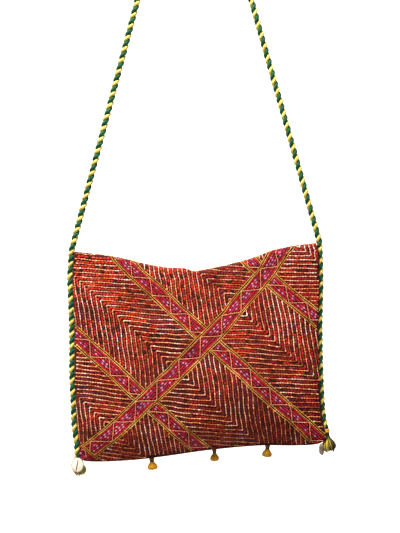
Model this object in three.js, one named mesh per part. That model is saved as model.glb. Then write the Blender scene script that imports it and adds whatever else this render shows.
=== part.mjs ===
// Embroidered cotton flap bag on a two-colour rope, hanging by its strap.
// Millimetres, Z up, the front faces -Y. The origin is the spot where the
// strap lies on whatever it hangs from.
import * as THREE from 'three';

// Rope
const ropeDiameter = 7;
const ropeSides = 10;
const ropeStep = 14;
const hookBend = 25.5; // radius of the rope's centre line where it hangs
const ropeSideGap = 0.55; // between the sewn rope and the cloth
const ropeEndGap = 0.4; // half the gap between the sewn and the free rope
const strapUpright = 7; // the free rope leaves the corner upright for this much

// Bag
const bagWidth = 296.2; // between the centre lines of the side ropes at the top
const bagHeight = 246;
const bagDrop = 475.8; // from the rope's highest centre point to the bag's top line
const bagShift = 2.2; // the bag's middle lies this far to the right of the hook
const bagTilt = 2.1; // degrees, right side up
const clothThickness = 2;
const pieceGap = 0.3;
const flapLift = 0.8; // the flap stands this much further out, over the rope
const flapOverRope = 1.5; // how far the flap's right edge covers the rope

// Pouch
const frontBulge = 24;
const backBulge = 12;
const seamWidth = 5;
const mouthShare = 0.12; // the mouth lies this share of the height below the fold
const flapOverhang = 4; // the flap and the back hang this far below the pouch
const foldFlatness = 0.8; // height of the rolled fold over its half width

// Shells, tufts and rope ends
const leftShell = { length: 19, width: 15, depth: 9 };
const rightShell = { length: 15, width: 11, depth: 7 };
const bobbleDiameter = 12;
const bobbleStem = 3.6;
const bobbleLength = 15;
const bobbleLean = 1; // to the side, over its length
const tasselWrap = 7;
const leftTasselLength = 20;
const leftTasselBack = 7; // how far its free end stands back
const leftTasselSide = 8;
const rightTasselLength = 28;
const rightTasselSide = 5.5;
const leftShellInset = 1; // from the rope's centre line towards the bag's middle
const leftShellForward = 3.6;
const rightShellInset = 5;
const rightShellForward = 3.4;
const tasselSeat = 1.4; // below the rope's end, room for the lean of the wrap

// The upper edge: share of the half width, sag as a share of the height.
const topSag = [
  [-1, 0], [-0.82, 0.0122], [-0.62, 0.0346], [-0.42, 0.067], [-0.22, 0.0923], [-0.08, 0.0996],
  [-0.01, 0.1146], [0.07, 0.1065], [0.26, 0.0854], [0.46, 0.0569], [0.65, 0.0244], [0.85, 0.0073],
  [1, 0],
];

// The flap's lower edge: share of the half width, drop as a share of the height.
const hemDrop = [
  [-1, 0.99], [-0.93, 1.008], [-0.82, 1.022], [-0.55, 1.018], [-0.3, 1.004], [0, 0.985], [0.3, 0.975],
  [0.5, 0.97], [0.75, 0.976], [0.92, 0.973], [1, 0.955],
];

// How far the side ropes bow outwards: share of the height, left and right as
// shares of the width.
const sideBow = [
  [0, 0, 0], [0.05, 0.004, -0.0024], [0.12, 0.0101, -0.0024], [0.2, 0.0101, -0.0037],
  [0.4, 0.0105, -0.0135], [0.6, 0.0162, -0.0165], [0.75, 0.0149, -0.0159],
  [0.86, 0.0142, -0.0115], [0.93, 0.0074, -0.0007], [1, 0.0068, 0.0068],
];

// Fullness down the bag: share of the height, front, back.
const fullness = [
  [0, 0.3, 0.3], [0.15, 0.44, 0.5], [0.35, 0.7, 0.8], [0.55, 0.92, 1], [0.7, 1, 0.96],
  [0.82, 0.9, 0.8], [0.9, 0.7, 0.6], [0.96, 0.4, 0.34], [1, 0, 0],
];

// Drag folds. Ends as shares of the half width and the height, reach to each
// side as a share of the height, rise as a share of the bulge (below zero for
// a hollow).
const frontFolds = [
  { from: [-0.97, 0.2], to: [-0.07, 0.46], reach: 0.053, rise: 0.27 },
  { from: [-0.97, 0.58], to: [-0.42, 0.84], reach: 0.065, rise: -0.23 },
  { from: [-0.97, 0.68], to: [-0.8, 0.9], reach: 0.057, rise: 0.146 },
  { from: [-0.82, 0.46], to: [-0.38, 0.6], reach: 0.053, rise: -0.167 },
  { from: [-0.02, 0.08], to: [0.06, 0.3], reach: 0.061, rise: -0.19 },
  { from: [0.5, 0.06], to: [0.2, 0.3], reach: 0.057, rise: 0.104 },
];
const backFolds = [
  { from: [0.9, 0.12], to: [0.1, 0.55], reach: 0.081, rise: 0.29 },
  { from: [-0.9, 0.12], to: [-0.3, 0.4], reach: 0.073, rise: 0.25 },
  { from: [-0.75, 0.72], to: [0.1, 0.62], reach: 0.089, rise: -0.25 },
];

const ropeRadius = ropeDiameter / 2;
const seamHalf = clothThickness;
const tilt = THREE.MathUtils.degToRad(bagTilt);

// A smooth line through the rows of a table, read from the given column.
function through(rows, column, at) {
  const last = rows.length - 1;
  if (at <= rows[0][0]) return rows[0][column];
  if (at >= rows[last][0]) return rows[last][column];
  let k = 0;
  while (rows[k + 1][0] < at) k += 1;
  const slope = (i) => {
    const a = Math.max(i - 1, 0);
    const b = Math.min(i + 1, last);
    return (rows[b][column] - rows[a][column]) / (rows[b][0] - rows[a][0]);
  };
  const span = rows[k + 1][0] - rows[k][0];
  const t = (at - rows[k][0]) / span;
  const rise = rows[k + 1][column] - rows[k][column];
  const start = slope(k) * span;
  const end = slope(k + 1) * span;
  const bend = (3 * rise - 2 * start - end) * t * t + (start + end - 2 * rise) * t * t * t;
  return rows[k][column] + start * t + bend;
}

// From the bag's own directions (across, depth, down) to the part's frame.
function place(across, depth, down) {
  const x = bagShift + across * Math.cos(tilt) + down * Math.sin(tilt);
  const z = ropeRadius - bagDrop + across * Math.sin(tilt) - down * Math.cos(tilt);
  return new THREE.Vector3(x, depth, z);
}

function ropeAcross(side, down) {
  const column = side < 0 ? 1 : 2;
  const bow = through(sideBow, column, down / bagHeight);
  return side * bagWidth * (0.5 + bow);
}

function topEdge(share) {
  return bagHeight * through(topSag, 1, share);
}

function hem(share) {
  return bagHeight * through(hemDrop, 1, share);
}

// Drop of a point of the cloth: 0 at the fold, 1 at the pouch's bottom.
function downAt(share, height) {
  return topEdge(share) + height * (hem(share) - flapOverhang - topEdge(share));
}

function acrossAt(share, down, overRope) {
  const left = ropeAcross(-1, down) + ropeRadius + ropeSideGap;
  const right = ropeAcross(1, down) - ropeRadius - ropeSideGap + overRope;
  return left + (right - left) * (share + 1) / 2;
}

// Height of the folds at a point of the cloth, as a share of the bulge.
function foldRise(folds, share, down) {
  const x = share * bagWidth / 2;
  let sum = 0;
  for (const fold of folds) {
    const x0 = fold.from[0] * bagWidth / 2;
    const z0 = fold.from[1] * bagHeight;
    const dx = fold.to[0] * bagWidth / 2 - x0;
    const dz = fold.to[1] * bagHeight - z0;
    const along = ((x - x0) * dx + (down - z0) * dz) / (dx * dx + dz * dz);
    const near = THREE.MathUtils.clamp(along, 0, 1);
    const away = Math.hypot(x - x0 - near * dx, down - z0 - near * dz) / (fold.reach * bagHeight);
    sum += fold.rise * Math.exp(-away * away);
  }
  return sum * Math.min(1, (1 - Math.abs(share)) / 0.16);
}

// The columns of points across and the rows down are shared by pouch and cover.
const acrossSteps = 24;
const shares = Array.from({ length: acrossSteps + 1 }, (_, k) => Math.sin((k / acrossSteps - 0.5) * Math.PI));
const heights = [mouthShare, 0.18, 0.26, 0.35, 0.45, 0.55, 0.65, 0.74, 0.82, 0.89, 0.94, 0.975, 1];

// Outer face of the pouch: side -1 is the front, 1 the back.
function pouchDepth(side, share, height) {
  const across = Math.pow(Math.max(0, 1 - share * share), 0.6);
  const bulge = side < 0 ? frontBulge : backBulge;
  const full = through(fullness, side < 0 ? 1 : 2, height);
  const folds = side < 0 ? frontFolds : backFolds;
  const calm = Math.min(1, (1 - height) / 0.12);
  const wrinkle = bulge * foldRise(folds, share, downAt(share, height)) * calm;
  return side * (seamHalf + bulge * across * full + wrinkle);
}

function colour(name, hex, roughness) {
  return new THREE.MeshStandardMaterial({ name, color: hex, roughness, metalness: 0 });
}

const embroidered = colour('embroidered_cotton', 0x9c3322, 0.85);
const plainCotton = colour('plain_cotton', 0x6d2018, 0.9);
const twistedRope = colour('twisted_cotton_rope', 0x5f7a34, 0.85);
const yellowYarn = colour('yellow_yarn', 0xe0a018, 0.9);
const greenYarn = colour('green_yarn', 0x1e5a38, 0.9);
const shellMaterial = colour('cowrie_shell', 0xe9dfc8, 0.3);

function solid(name, points, faces, material) {
  const positions = new Float32Array(points.length * 3);
  points.forEach((point, i) => point.toArray(positions, i * 3));
  const geometry = new THREE.BufferGeometry();
  geometry.setAttribute('position', new THREE.BufferAttribute(positions, 3));
  geometry.setIndex(faces);
  geometry.computeVertexNormals();
  const mesh = new THREE.Mesh(geometry, material);
  mesh.name = name;
  return mesh;
}

// Two triangles between two neighbouring points of one ring and of the next.
function quad(faces, a, b, c, d) {
  faces.push(a, b, c, a, c, d);
}

// A closed solid from rings of points, ends closed with a middle point.
function ringSolid(name, rings, material) {
  const count = rings[0].length;
  const points = rings.flat();
  const faces = [];
  for (let r = 0; r + 1 < rings.length; r += 1) {
    for (let i = 0; i < count; i += 1) {
      const next = (i + 1) % count;
      quad(faces, r * count + i, r * count + next, (r + 1) * count + next, (r + 1) * count + i);
    }
  }
  const middle = (ring) => ring
    .reduce((sum, point) => sum.add(point), new THREE.Vector3())
    .divideScalar(ring.length);
  const first = points.length;
  points.push(middle(rings[0]), middle(rings[rings.length - 1]));
  const lastRing = (rings.length - 1) * count;
  for (let i = 0; i < count; i += 1) {
    const next = (i + 1) % count;
    faces.push(first, next, i);
    faces.push(first + 1, lastRing + i, lastRing + next);
  }
  return solid(name, points, faces, material);
}

// The pouch: outer rings from mouth to bottom, inner rings back up, one rim.
function buildPouch() {
  const innerEnd = 0.972;
  const ringAt = (height, inner) => {
    const ring = [];
    for (const side of [-1, 1]) {
      const order = side < 0 ? shares : [...shares].reverse();
      for (const share of order) {
        const end = inner ? mouthShare + (height - mouthShare) * innerEnd : height;
        const down = downAt(share, end);
        const narrow = inner ? 1 - 2 * seamWidth / bagWidth : 1;
        let depth = pouchDepth(side, share, end);
        if (inner) depth = side * Math.max(Math.abs(depth) - clothThickness, 0.4);
        ring.push(place(acrossAt(share * narrow, down, 0), depth, down));
      }
    }
    return ring;
  };
  const outer = heights.map((height) => ringAt(height, false));
  const inner = heights.map((height) => ringAt(height, true));
  const count = outer[0].length;
  const rings = [...inner.reverse(), ...outer];
  const points = rings.flat();
  const faces = [];
  for (let r = 0; r + 1 < rings.length; r += 1) {
    for (let i = 0; i < count; i += 1) {
      const next = (i + 1) % count;
      quad(faces, r * count + i, (r + 1) * count + i, (r + 1) * count + next, r * count + next);
    }
  }
  // The two bottoms, closed from the front row to the back row.
  const lastRing = (rings.length - 1) * count;
  for (let k = 0; k < acrossSteps; k += 1) {
    const front = k;
    const back = count - 1 - k;
    quad(faces, front, front + 1, back - 1, back);
    quad(faces, lastRing + front, lastRing + back, lastRing + back - 1, lastRing + front + 1);
  }
  return solid('pouch', points, faces, plainCotton);
}

// Depth of the embroidered cloth's inner face; side -1 is the flap.
function coverDepth(side, share, height) {
  const away = side < 0 ? pieceGap + flapLift : pieceGap;
  const own = pouchDepth(side, share, Math.min(height, 1));
  return own + side * (away + 0.25 * Math.abs(own) / frontBulge);
}

// The embroidered cloth: up the back, over the fold, down the front.
function buildCover() {
  const foldSteps = 7;
  const columns = [];
  for (const share of shares) {
    const overhang = 1 + flapOverhang / (hem(share) - topEdge(share));
    const straight = [overhang, ...[...heights].reverse()];
    const inner = [];
    const outer = [];
    const push = (row, depth, down, overRope) => {
      row.push(place(acrossAt(share, Math.max(down, 0), overRope), depth, down));
    };
    const back = coverDepth(1, share, 0.04);
    const front = coverDepth(-1, share, 0.04);
    const middle = (back + front) / 2;
    const half = (back - front) / 2 + clothThickness;
    const rise = half * foldFlatness;
    for (const height of straight) {
      const depth = coverDepth(1, share, height);
      push(inner, depth, downAt(share, height), 0);
      push(outer, depth + clothThickness, downAt(share, height), 0);
    }
    for (let i = 0; i <= foldSteps; i += 1) {
      const turn = Math.PI * i / foldSteps;
      const springDown = topEdge(share) + rise;
      const cos = Math.cos(turn);
      const sin = Math.sin(turn);
      const over = cos < 0 ? flapOverRope * Math.max(0, 1 - 2 * sin) : 0;
      push(inner, middle + (half - clothThickness) * cos, springDown - (rise - clothThickness) * sin, over);
      push(outer, middle + half * cos, springDown - rise * sin, over);
    }
    for (const height of [...straight].reverse()) {
      const depth = coverDepth(-1, share, height);
      push(inner, depth, downAt(share, height), flapOverRope);
      push(outer, depth - clothThickness, downAt(share, height), flapOverRope);
    }
    columns.push([...outer, ...inner.reverse()]);
  }
  const count = columns[0].length;
  const half = count / 2;
  const points = columns.flat();
  const faces = [];
  for (let c = 0; c + 1 < columns.length; c += 1) {
    for (let i = 0; i < count; i += 1) {
      const next = (i + 1) % count;
      const corners = [c * count + i, c * count + next, (c + 1) * count + next, (c + 1) * count + i];
      // The inner face is split the way the pouch's outer face is.
      if (i >= half) corners.push(corners.shift());
      quad(faces, ...corners);
    }
  }
  const lastColumn = (columns.length - 1) * count;
  for (let i = 0; i + 1 < half; i += 1) {
    const partner = count - 1 - i;
    quad(faces, i, partner, partner - 1, i + 1);
    quad(faces, lastColumn + i, lastColumn + i + 1, lastColumn + partner - 1, lastColumn + partner);
  }
  return solid('flap_and_back', points, faces, embroidered);
}

// A rope: a round section swept along its centre line.
function buildRope(name, centre, length) {
  const section = new THREE.Shape();
  for (let i = 0; i < ropeSides; i += 1) {
    const turn = 2 * Math.PI * i / ropeSides;
    const x = ropeRadius * Math.cos(turn);
    const y = ropeRadius * Math.sin(turn);
    if (i === 0) section.moveTo(x, y);
    else section.lineTo(x, y);
  }
  section.closePath();
  const path = new THREE.CatmullRomCurve3(centre, false, 'centripetal');
  const steps = Math.round(length / ropeStep);
  const geometry = new THREE.ExtrudeGeometry(section, { steps, extrudePath: path, bevelEnabled: false });
  const mesh = new THREE.Mesh(geometry, twistedRope);
  mesh.name = name;
  return mesh;
}

const leftRopeEnd = bagHeight - 1;
const rightRopeEnd = 0.903 * bagHeight;

function buildSideRope(name, side, end) {
  const steps = 12;
  const centre = [];
  for (let i = 0; i <= steps; i += 1) {
    const down = ropeEndGap + (end - ropeEndGap) * i / steps;
    centre.push(place(ropeAcross(side, down), 0, down));
  }
  return buildRope(name, centre, end);
}

// The free strap: straight from each corner to the round over the hook.
function buildStrap() {
  const hook = new THREE.Vector3(0, 0, ropeRadius - hookBend);
  const ends = [-1, 1].map((side) => place(side * bagWidth / 2, 0, -ropeEndGap));
  const corners = [-1, 1].map((side) => place(side * bagWidth / 2, 0, -strapUpright));
  const turns = corners.map((corner, i) => {
    const side = i === 0 ? -1 : 1;
    const across = Math.abs(corner.x - hook.x);
    const below = hook.z - corner.z;
    const lean = Math.atan2(across, below) - Math.asin(hookBend / Math.hypot(across, below));
    return side * (Math.PI / 2 - lean);
  });
  const centre = [ends[0], corners[0]];
  const arcSteps = 8;
  const onHook = (turn) => new THREE.Vector3(hookBend * Math.sin(turn), 0, hook.z + hookBend * Math.cos(turn));
  const legSteps = 12;
  const firstTouch = onHook(turns[0]);
  const lastTouch = onHook(turns[1]);
  for (let i = 1; i < legSteps; i += 1) {
    centre.push(corners[0].clone().lerp(firstTouch, i / legSteps));
  }
  for (let i = 0; i <= arcSteps; i += 1) {
    centre.push(onHook(turns[0] + (turns[1] - turns[0]) * i / arcSteps));
  }
  for (let i = 1; i <= legSteps; i += 1) {
    centre.push(lastTouch.clone().lerp(corners[1], i / legSteps));
  }
  centre.push(ends[1]);
  const leg = corners[0].distanceTo(firstTouch) + corners[1].distanceTo(lastTouch);
  return buildRope('strap_rope', centre, leg + hookBend * (turns[1] - turns[0]));
}

// A tuft of yarn with locks: rows of share along, radius, depth of the grooves.
function buildTuft(name, from, to, rows, locks, material) {
  const around = locks * 4;
  const axis = to.clone().sub(from);
  const sideways = new THREE.Vector3(0, 1, 0).cross(axis).normalize();
  const forwards = axis.clone().cross(sideways).normalize();
  const rings = rows.map(([share, radius, groove]) => {
    const ring = [];
    for (let i = 0; i < around; i += 1) {
      const turn = 2 * Math.PI * i / around;
      const reach = radius * (1 - groove * (1 - Math.cos(locks * turn)) / 2);
      const point = from.clone().addScaledVector(axis, share);
      point.addScaledVector(sideways, reach * Math.cos(turn));
      point.addScaledVector(forwards, reach * Math.sin(turn));
      ring.push(point);
    }
    return ring;
  });
  return ringSolid(name, rings, material);
}

const bobbleRows = [
  [0, bobbleStem / 2, 0.1], [0.3, bobbleStem / 2, 0.1], [0.45, bobbleDiameter * 0.34, 0.2],
  [0.62, bobbleDiameter * 0.48, 0.24], [0.8, bobbleDiameter * 0.5, 0.24],
  [0.94, bobbleDiameter * 0.4, 0.28], [1, bobbleDiameter * 0.2, 0.3],
];

function buildBobble(name, share, size, lean) {
  const depth = coverDepth(-1, share, 1) - clothThickness / 2;
  const down = hem(share) + pieceGap;
  const from = place(acrossAt(share, down, flapOverRope), depth, down);
  const to = new THREE.Vector3(from.x + lean, from.y, from.z - bobbleLength);
  const rows = bobbleRows.map(([along, radius, groove]) => [along, radius * size, groove]);
  return buildTuft(name, from, to, rows, 6, yellowYarn);
}

// Rope ends opened into a tassel under a wrapped head.
const tasselRows = [
  [0, tasselWrap * 0.48, 0.06], [0.14, tasselWrap * 0.5, 0.06], [0.24, tasselWrap * 0.42, 0.14],
  [0.45, tasselWrap * 0.62, 0.26], [0.75, tasselWrap * 0.86, 0.4], [1, tasselWrap * 0.92, 0.5],
];

function buildTassel(name, from, to, slim) {
  const rows = tasselRows.map(([along, radius, groove]) => [along, radius * slim, groove]);
  return buildTuft(name, from, to, rows, 5, greenYarn);
}

// A shell: domed back, flat belly with a slit along it, belly to -Y before it is turned.
function buildShell(name, size, centre, turn, lean) {
  const around = 24;
  const stations = 11;
  const rings = [];
  for (let k = 1; k < stations; k += 1) {
    const along = -Math.cos(Math.PI * k / stations);
    const girth = Math.sqrt(1 - along * along);
    const ring = [];
    for (let i = 0; i < around; i += 1) {
      const angle = 2 * Math.PI * i / around;
      const x = size.width / 2 * Math.pow(girth, 0.85) * Math.sin(angle);
      const cos = Math.cos(angle);
      const groove = 1.6 * girth * Math.exp(-((x / 1.3) ** 2));
      const y = cos > 0
        ? size.depth * 0.68 * girth * cos
        : -size.depth * 0.32 * girth * Math.pow(-cos, 0.7) + groove;
      ring.push(new THREE.Vector3(x, y, size.length / 2 * along));
    }
    rings.push(ring);
  }
  const turned = new THREE.Matrix4().makeRotationFromEuler(new THREE.Euler(0, lean, turn, 'ZYX'));
  for (const ring of rings) {
    ring.forEach((point) => point.applyMatrix4(turned).add(centre));
    ring.reverse();
  }
  return ringSolid(name, rings, shellMaterial);
}

const bag = new THREE.Group();
bag.name = 'cotton_flap_bag';
bag.add(buildPouch());
bag.add(buildCover());
bag.add(buildSideRope('side_rope_left', -1, leftRopeEnd));
bag.add(buildSideRope('side_rope_right', 1, rightRopeEnd));
bag.add(buildStrap());
bag.add(buildBobble('bobble_left', -0.42, 1, bobbleLean));
bag.add(buildBobble('bobble_middle', 0.105, 0.9, 0));
bag.add(buildBobble('bobble_right', 0.54, 1, -bobbleLean));

const leftRope = ropeAcross(-1, leftRopeEnd);
const rightRope = ropeAcross(1, rightRopeEnd);
const leftTasselTop = place(leftRope - 0.6, leftShellForward, leftRopeEnd + tasselSeat);
const leftTasselEnd = leftTasselTop.clone()
  .add(new THREE.Vector3(leftTasselSide, leftTasselBack, -leftTasselLength));
bag.add(buildTassel('tassel_left', leftTasselTop, leftTasselEnd, 0.8));
const rightTasselTop = place(rightRope + 0.4, 0, rightRopeEnd + tasselSeat - pieceGap);
const rightTasselEnd = rightTasselTop.clone()
  .add(new THREE.Vector3(rightTasselSide, 0, -rightTasselLength));
bag.add(buildTassel('tassel_right', rightTasselTop, rightTasselEnd, 1));

const leftShellCentre = place(
  leftRope + leftShellInset,
  -leftShellForward,
  leftRopeEnd + leftShell.length / 2 + 1,
);
bag.add(buildShell('cowrie_left', leftShell, leftShellCentre, 0, THREE.MathUtils.degToRad(8)));
const rightShellCentre = place(
  rightRope - rightShellInset,
  -rightShellForward,
  hem(0.94) + rightShell.length / 2 + 2 * pieceGap,
);
bag.add(buildShell('cowrie_right', rightShell, rightShellCentre, THREE.MathUtils.degToRad(78), 0));

export default bag;
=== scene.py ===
import math

import bpy
import numpy as np
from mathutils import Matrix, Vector


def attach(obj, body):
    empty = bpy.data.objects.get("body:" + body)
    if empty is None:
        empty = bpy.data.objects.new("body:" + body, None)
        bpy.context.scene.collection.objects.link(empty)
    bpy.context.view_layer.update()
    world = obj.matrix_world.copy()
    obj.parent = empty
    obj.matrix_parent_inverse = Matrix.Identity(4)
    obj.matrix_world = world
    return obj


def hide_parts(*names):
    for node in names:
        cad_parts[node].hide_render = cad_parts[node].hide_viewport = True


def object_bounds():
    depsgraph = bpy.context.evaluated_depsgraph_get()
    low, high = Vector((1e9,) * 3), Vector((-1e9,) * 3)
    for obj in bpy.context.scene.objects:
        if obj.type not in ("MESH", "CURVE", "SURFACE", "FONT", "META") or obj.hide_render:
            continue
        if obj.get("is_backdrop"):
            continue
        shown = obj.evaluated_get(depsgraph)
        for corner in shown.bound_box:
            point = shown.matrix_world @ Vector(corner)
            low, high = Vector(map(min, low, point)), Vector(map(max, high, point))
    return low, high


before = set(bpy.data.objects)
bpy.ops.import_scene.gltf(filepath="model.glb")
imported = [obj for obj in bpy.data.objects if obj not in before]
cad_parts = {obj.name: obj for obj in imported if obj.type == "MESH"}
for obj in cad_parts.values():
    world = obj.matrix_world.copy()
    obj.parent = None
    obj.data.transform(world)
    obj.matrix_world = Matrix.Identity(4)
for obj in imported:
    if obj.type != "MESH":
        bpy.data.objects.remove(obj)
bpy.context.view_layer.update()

bl_info = {
    "name": "Cotton flap bag on a rope strap",
    "version": (1, 0, 0),
    "blender": (4, 5, 0),
    "location": "View3D > Sidebar > Flap bag",
    "description": "Builds an embroidered cotton bag with its rope, shells and bobbles",
    "category": "Object",
}

MM = 0.001

# The bag's own sizes and tables, in millimetres, as the part's source has them.
ROPE_RADIUS = 3.5
HOOK_BEND = 25.5
ROPE_SIDE_GAP = 0.55
STRAP_UPRIGHT = 2.0
YARN_RADIUS = 4.0  # over the plies, which stand a little out of the solid rope
GREEN_PLY = 2.3
YELLOW_PLY = 1.95
EDGE_REACH = 1.0  # the cloth's edges go this much further, into the hollows of the rope
BAG_WIDTH = 296.2
BAG_HEIGHT = 246.0
BAG_DROP = 475.8
BAG_SHIFT = 2.2
BAG_TILT = math.radians(2.1)
CLOTH = 2.0
PIECE_GAP = 0.3
FLAP_LIFT = 0.8
FLAP_OVER_ROPE = 1.5
FRONT_BULGE = 24.0
BACK_BULGE = 12.0
MOUTH_SHARE = 0.12
FLAP_OVERHANG = 4.0
FOLD_FLATNESS = 0.8
LEFT_ROPE_END = BAG_HEIGHT - 1
RIGHT_ROPE_END = 0.903 * BAG_HEIGHT

TOP_SAG = np.array([
    (-1, 0), (-0.82, 0.0152), (-0.62, 0.0376), (-0.42, 0.07), (-0.22, 0.0943),
    (-0.08, 0.1006), (-0.01, 0.1156), (0.07, 0.112), (0.26, 0.0924), (0.46, 0.0639),
    (0.65, 0.0274), (0.85, 0.0078), (1, 0),
])
HEM_DROP = np.array([
    (-1, 1.003), (-0.965, 1.018), (-0.82, 1.025), (-0.55, 1.022), (-0.3, 1.009),
    (0, 0.99), (0.3, 0.978), (0.5, 0.975), (0.75, 0.981), (0.92, 0.978), (1, 0.959),
])
SIDE_BOW = np.array([
    (0, 0, 0.0045), (0.05, 0.004, 0.0041), (0.12, 0.0101, 0.0041), (0.2, 0.0101, 0.0025),
    (0.4, 0.0105, -0.0071), (0.6, 0.0162, -0.0105), (0.75, 0.0149, -0.0099),
    (0.86, 0.0142, -0.0052), (0.93, 0.0074, 0.0056), (1, 0.0068, 0.0131),
])
FULLNESS = np.array([
    (0, 0.3, 0.3), (0.15, 0.44, 0.5), (0.35, 0.7, 0.8), (0.55, 0.92, 1), (0.7, 1, 0.96),
    (0.82, 0.9, 0.8), (0.9, 0.7, 0.6), (0.96, 0.4, 0.34), (1, 0, 0),
])
# Drag folds: ends as shares of half width and height, reach, rise.
FRONT_FOLDS = [
    ((-0.97, 0.2), (-0.07, 0.46), 0.053, 0.27),
    ((-0.97, 0.58), (-0.42, 0.84), 0.065, -0.23),
    ((-0.97, 0.68), (-0.8, 0.9), 0.057, 0.146),
    ((-0.82, 0.46), (-0.38, 0.6), 0.053, -0.167),
    ((-0.02, 0.08), (0.06, 0.3), 0.061, -0.19),
    ((0.5, 0.06), (0.2, 0.3), 0.057, 0.104),
]
BACK_FOLDS = [
    ((0.9, 0.12), (0.1, 0.55), 0.081, 0.29),
    ((-0.9, 0.12), (-0.3, 0.4), 0.073, 0.25),
    ((-0.75, 0.72), (0.1, 0.62), 0.089, -0.25),
]

# The lattice of embroidered bands, measured on the cloth.
BAND_PITCH = 103.3
SECOND_MAIN = 2 * BAND_PITCH
MAIN_EDGE = 10.5
BAND_EDGE = 9.4
EDGE_PAIR = 2.2  # between the two gold rows of an edge
LOW_BAND = -2  # the one band that runs over the main band, at the lower left corner
LOW_BAND_SHIFT = 3.6
HALF_ROOT = math.sqrt(0.5)
# The main band's middle line: its way from the top left corner, then its lean and its curve.
MAIN_AWAY = 84.27
MAIN_LEAN = 5.57
MAIN_CURVE = 6.38
MAIN_REACH = 150
MAIN_ENDS = (-1.9, 0.8)
# The bands that cross it: where the first lies, their lean and their step, in pitches.
CROSS_START = 0.6784
CROSS_LEAN = 0.0000945
CROSS_STEP = 0.00968
# The zigzag in a band: the length of one tooth pair and where it starts.
MAIN_ZIGZAG = (35.94, 14.07)
BAND_ZIGZAG = (32.0, -12.0)
ZIGZAG_STITCH = 1.9
ZIGZAG_CLEAR = 0.74  # from a distance straight across the band to one from the slanting zigzag
# The rows between the bands.
ROW_SLANT = 1.257  # how much steeper than the bands' square the rows run
CLOSE_ROWS = {1: 4.65 / 5.45, -2: 5.05 / 5.45}  # strips whose rows lie closer, as shares
ROW_GAP = 0.9  # between a row's end and a band's edge
FILL_STITCH = 2.6
FILL_STEP = 2.9
FILL_SHIFT = 1.4

# The shades that each yarn takes, dark to light, about the dye of its middle one.
PALE_DYES = ("#A4441E", "#D87040", "#F09868", "#FCC09C", "#FEE6D8")
RED_DYES = ("#4A0A0C", "#7C120E", "#A01C12", "#BE2A16", "#D64020")
GOLD_DYES = ("#B47428", "#ECA848", "#FFD67C")
ZIGZAG_DYES = ("#EC8C58", "#F8A878", "#FCC298")
BAND_DYES = ("#980A1E", "#BC1429", "#AE102C")


def through(rows, column, at):
    """A smooth line through a table's rows."""
    x, y = rows[:, 0], rows[:, column]
    at = np.clip(at, x[0], x[-1])
    k = np.clip(np.searchsorted(x, at, side="right") - 1, 0, len(x) - 2)
    ends = np.arange(len(x))
    before, after = np.maximum(ends - 1, 0), np.minimum(ends + 1, len(x) - 1)
    slope = (y[after] - y[before]) / (x[after] - x[before])
    span = x[k + 1] - x[k]
    t = (at - x[k]) / span
    rise = y[k + 1] - y[k]
    start, end = slope[k] * span, slope[k + 1] * span
    return y[k] + start * t + (3 * rise - 2 * start - end) * t**2 + (start + end - 2 * rise) * t**3


def place(across, depth, down):
    """From the bag's own directions to the shared frame, in metres."""
    x = BAG_SHIFT + across * math.cos(BAG_TILT) + down * math.sin(BAG_TILT)
    z = ROPE_RADIUS - BAG_DROP + across * math.sin(BAG_TILT) - down * math.cos(BAG_TILT)
    return np.stack(np.broadcast_arrays(x, depth, z), axis=-1) * MM


def rope_across(side, down):
    bow = through(SIDE_BOW, 1 if side < 0 else 2, np.asarray(down) / BAG_HEIGHT)
    return side * BAG_WIDTH * (0.5 + bow)


def top_edge(share):
    return BAG_HEIGHT * through(TOP_SAG, 1, share)


def hem(share):
    return BAG_HEIGHT * through(HEM_DROP, 1, share)


def cloth_edges(down, over_rope):
    left = rope_across(-1, down) + ROPE_RADIUS + ROPE_SIDE_GAP
    right = rope_across(1, down) - ROPE_RADIUS - ROPE_SIDE_GAP + over_rope
    return left, right


def across_at(share, down, over_rope):
    left, right = cloth_edges(down, over_rope)
    return left + (right - left) * (share + 1) / 2


def fold_rise(folds, share, down):
    x = share * BAG_WIDTH / 2
    total = np.zeros(np.broadcast(share, down).shape)
    for (s0, h0), (s1, h1), reach, rise in folds:
        x0, z0 = s0 * BAG_WIDTH / 2, h0 * BAG_HEIGHT
        dx, dz = s1 * BAG_WIDTH / 2 - x0, h1 * BAG_HEIGHT - z0
        near = np.clip(((x - x0) * dx + (down - z0) * dz) / (dx * dx + dz * dz), 0, 1)
        away = np.hypot(x - x0 - near * dx, down - z0 - near * dz) / (reach * BAG_HEIGHT)
        total = total + rise * np.exp(-away * away)
    return total * np.minimum(1, (1 - np.abs(share)) / 0.16)


def pouch_depth(side, share, height):
    """Outer face of the pouch; side -1 is the front, 1 the back."""
    across = np.maximum(0, 1 - share * share) ** 0.6
    bulge = FRONT_BULGE if side < 0 else BACK_BULGE
    full = through(FULLNESS, 1 if side < 0 else 2, height)
    down = top_edge(share) + height * (hem(share) - FLAP_OVERHANG - top_edge(share))
    calm = np.clip((1 - height) / 0.12, 0, 1)
    wrinkle = bulge * fold_rise(FRONT_FOLDS if side < 0 else BACK_FOLDS, share, down) * calm
    return side * (CLOTH + bulge * across * full + wrinkle)


def cover_depth(side, share, height):
    """Inner face of the embroidered cloth; side -1 is the flap."""
    away = PIECE_GAP + FLAP_LIFT if side < 0 else PIECE_GAP
    own = pouch_depth(side, share, np.minimum(height, 1))
    return own + side * (away + 0.25 * np.abs(own) / FRONT_BULGE)


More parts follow.
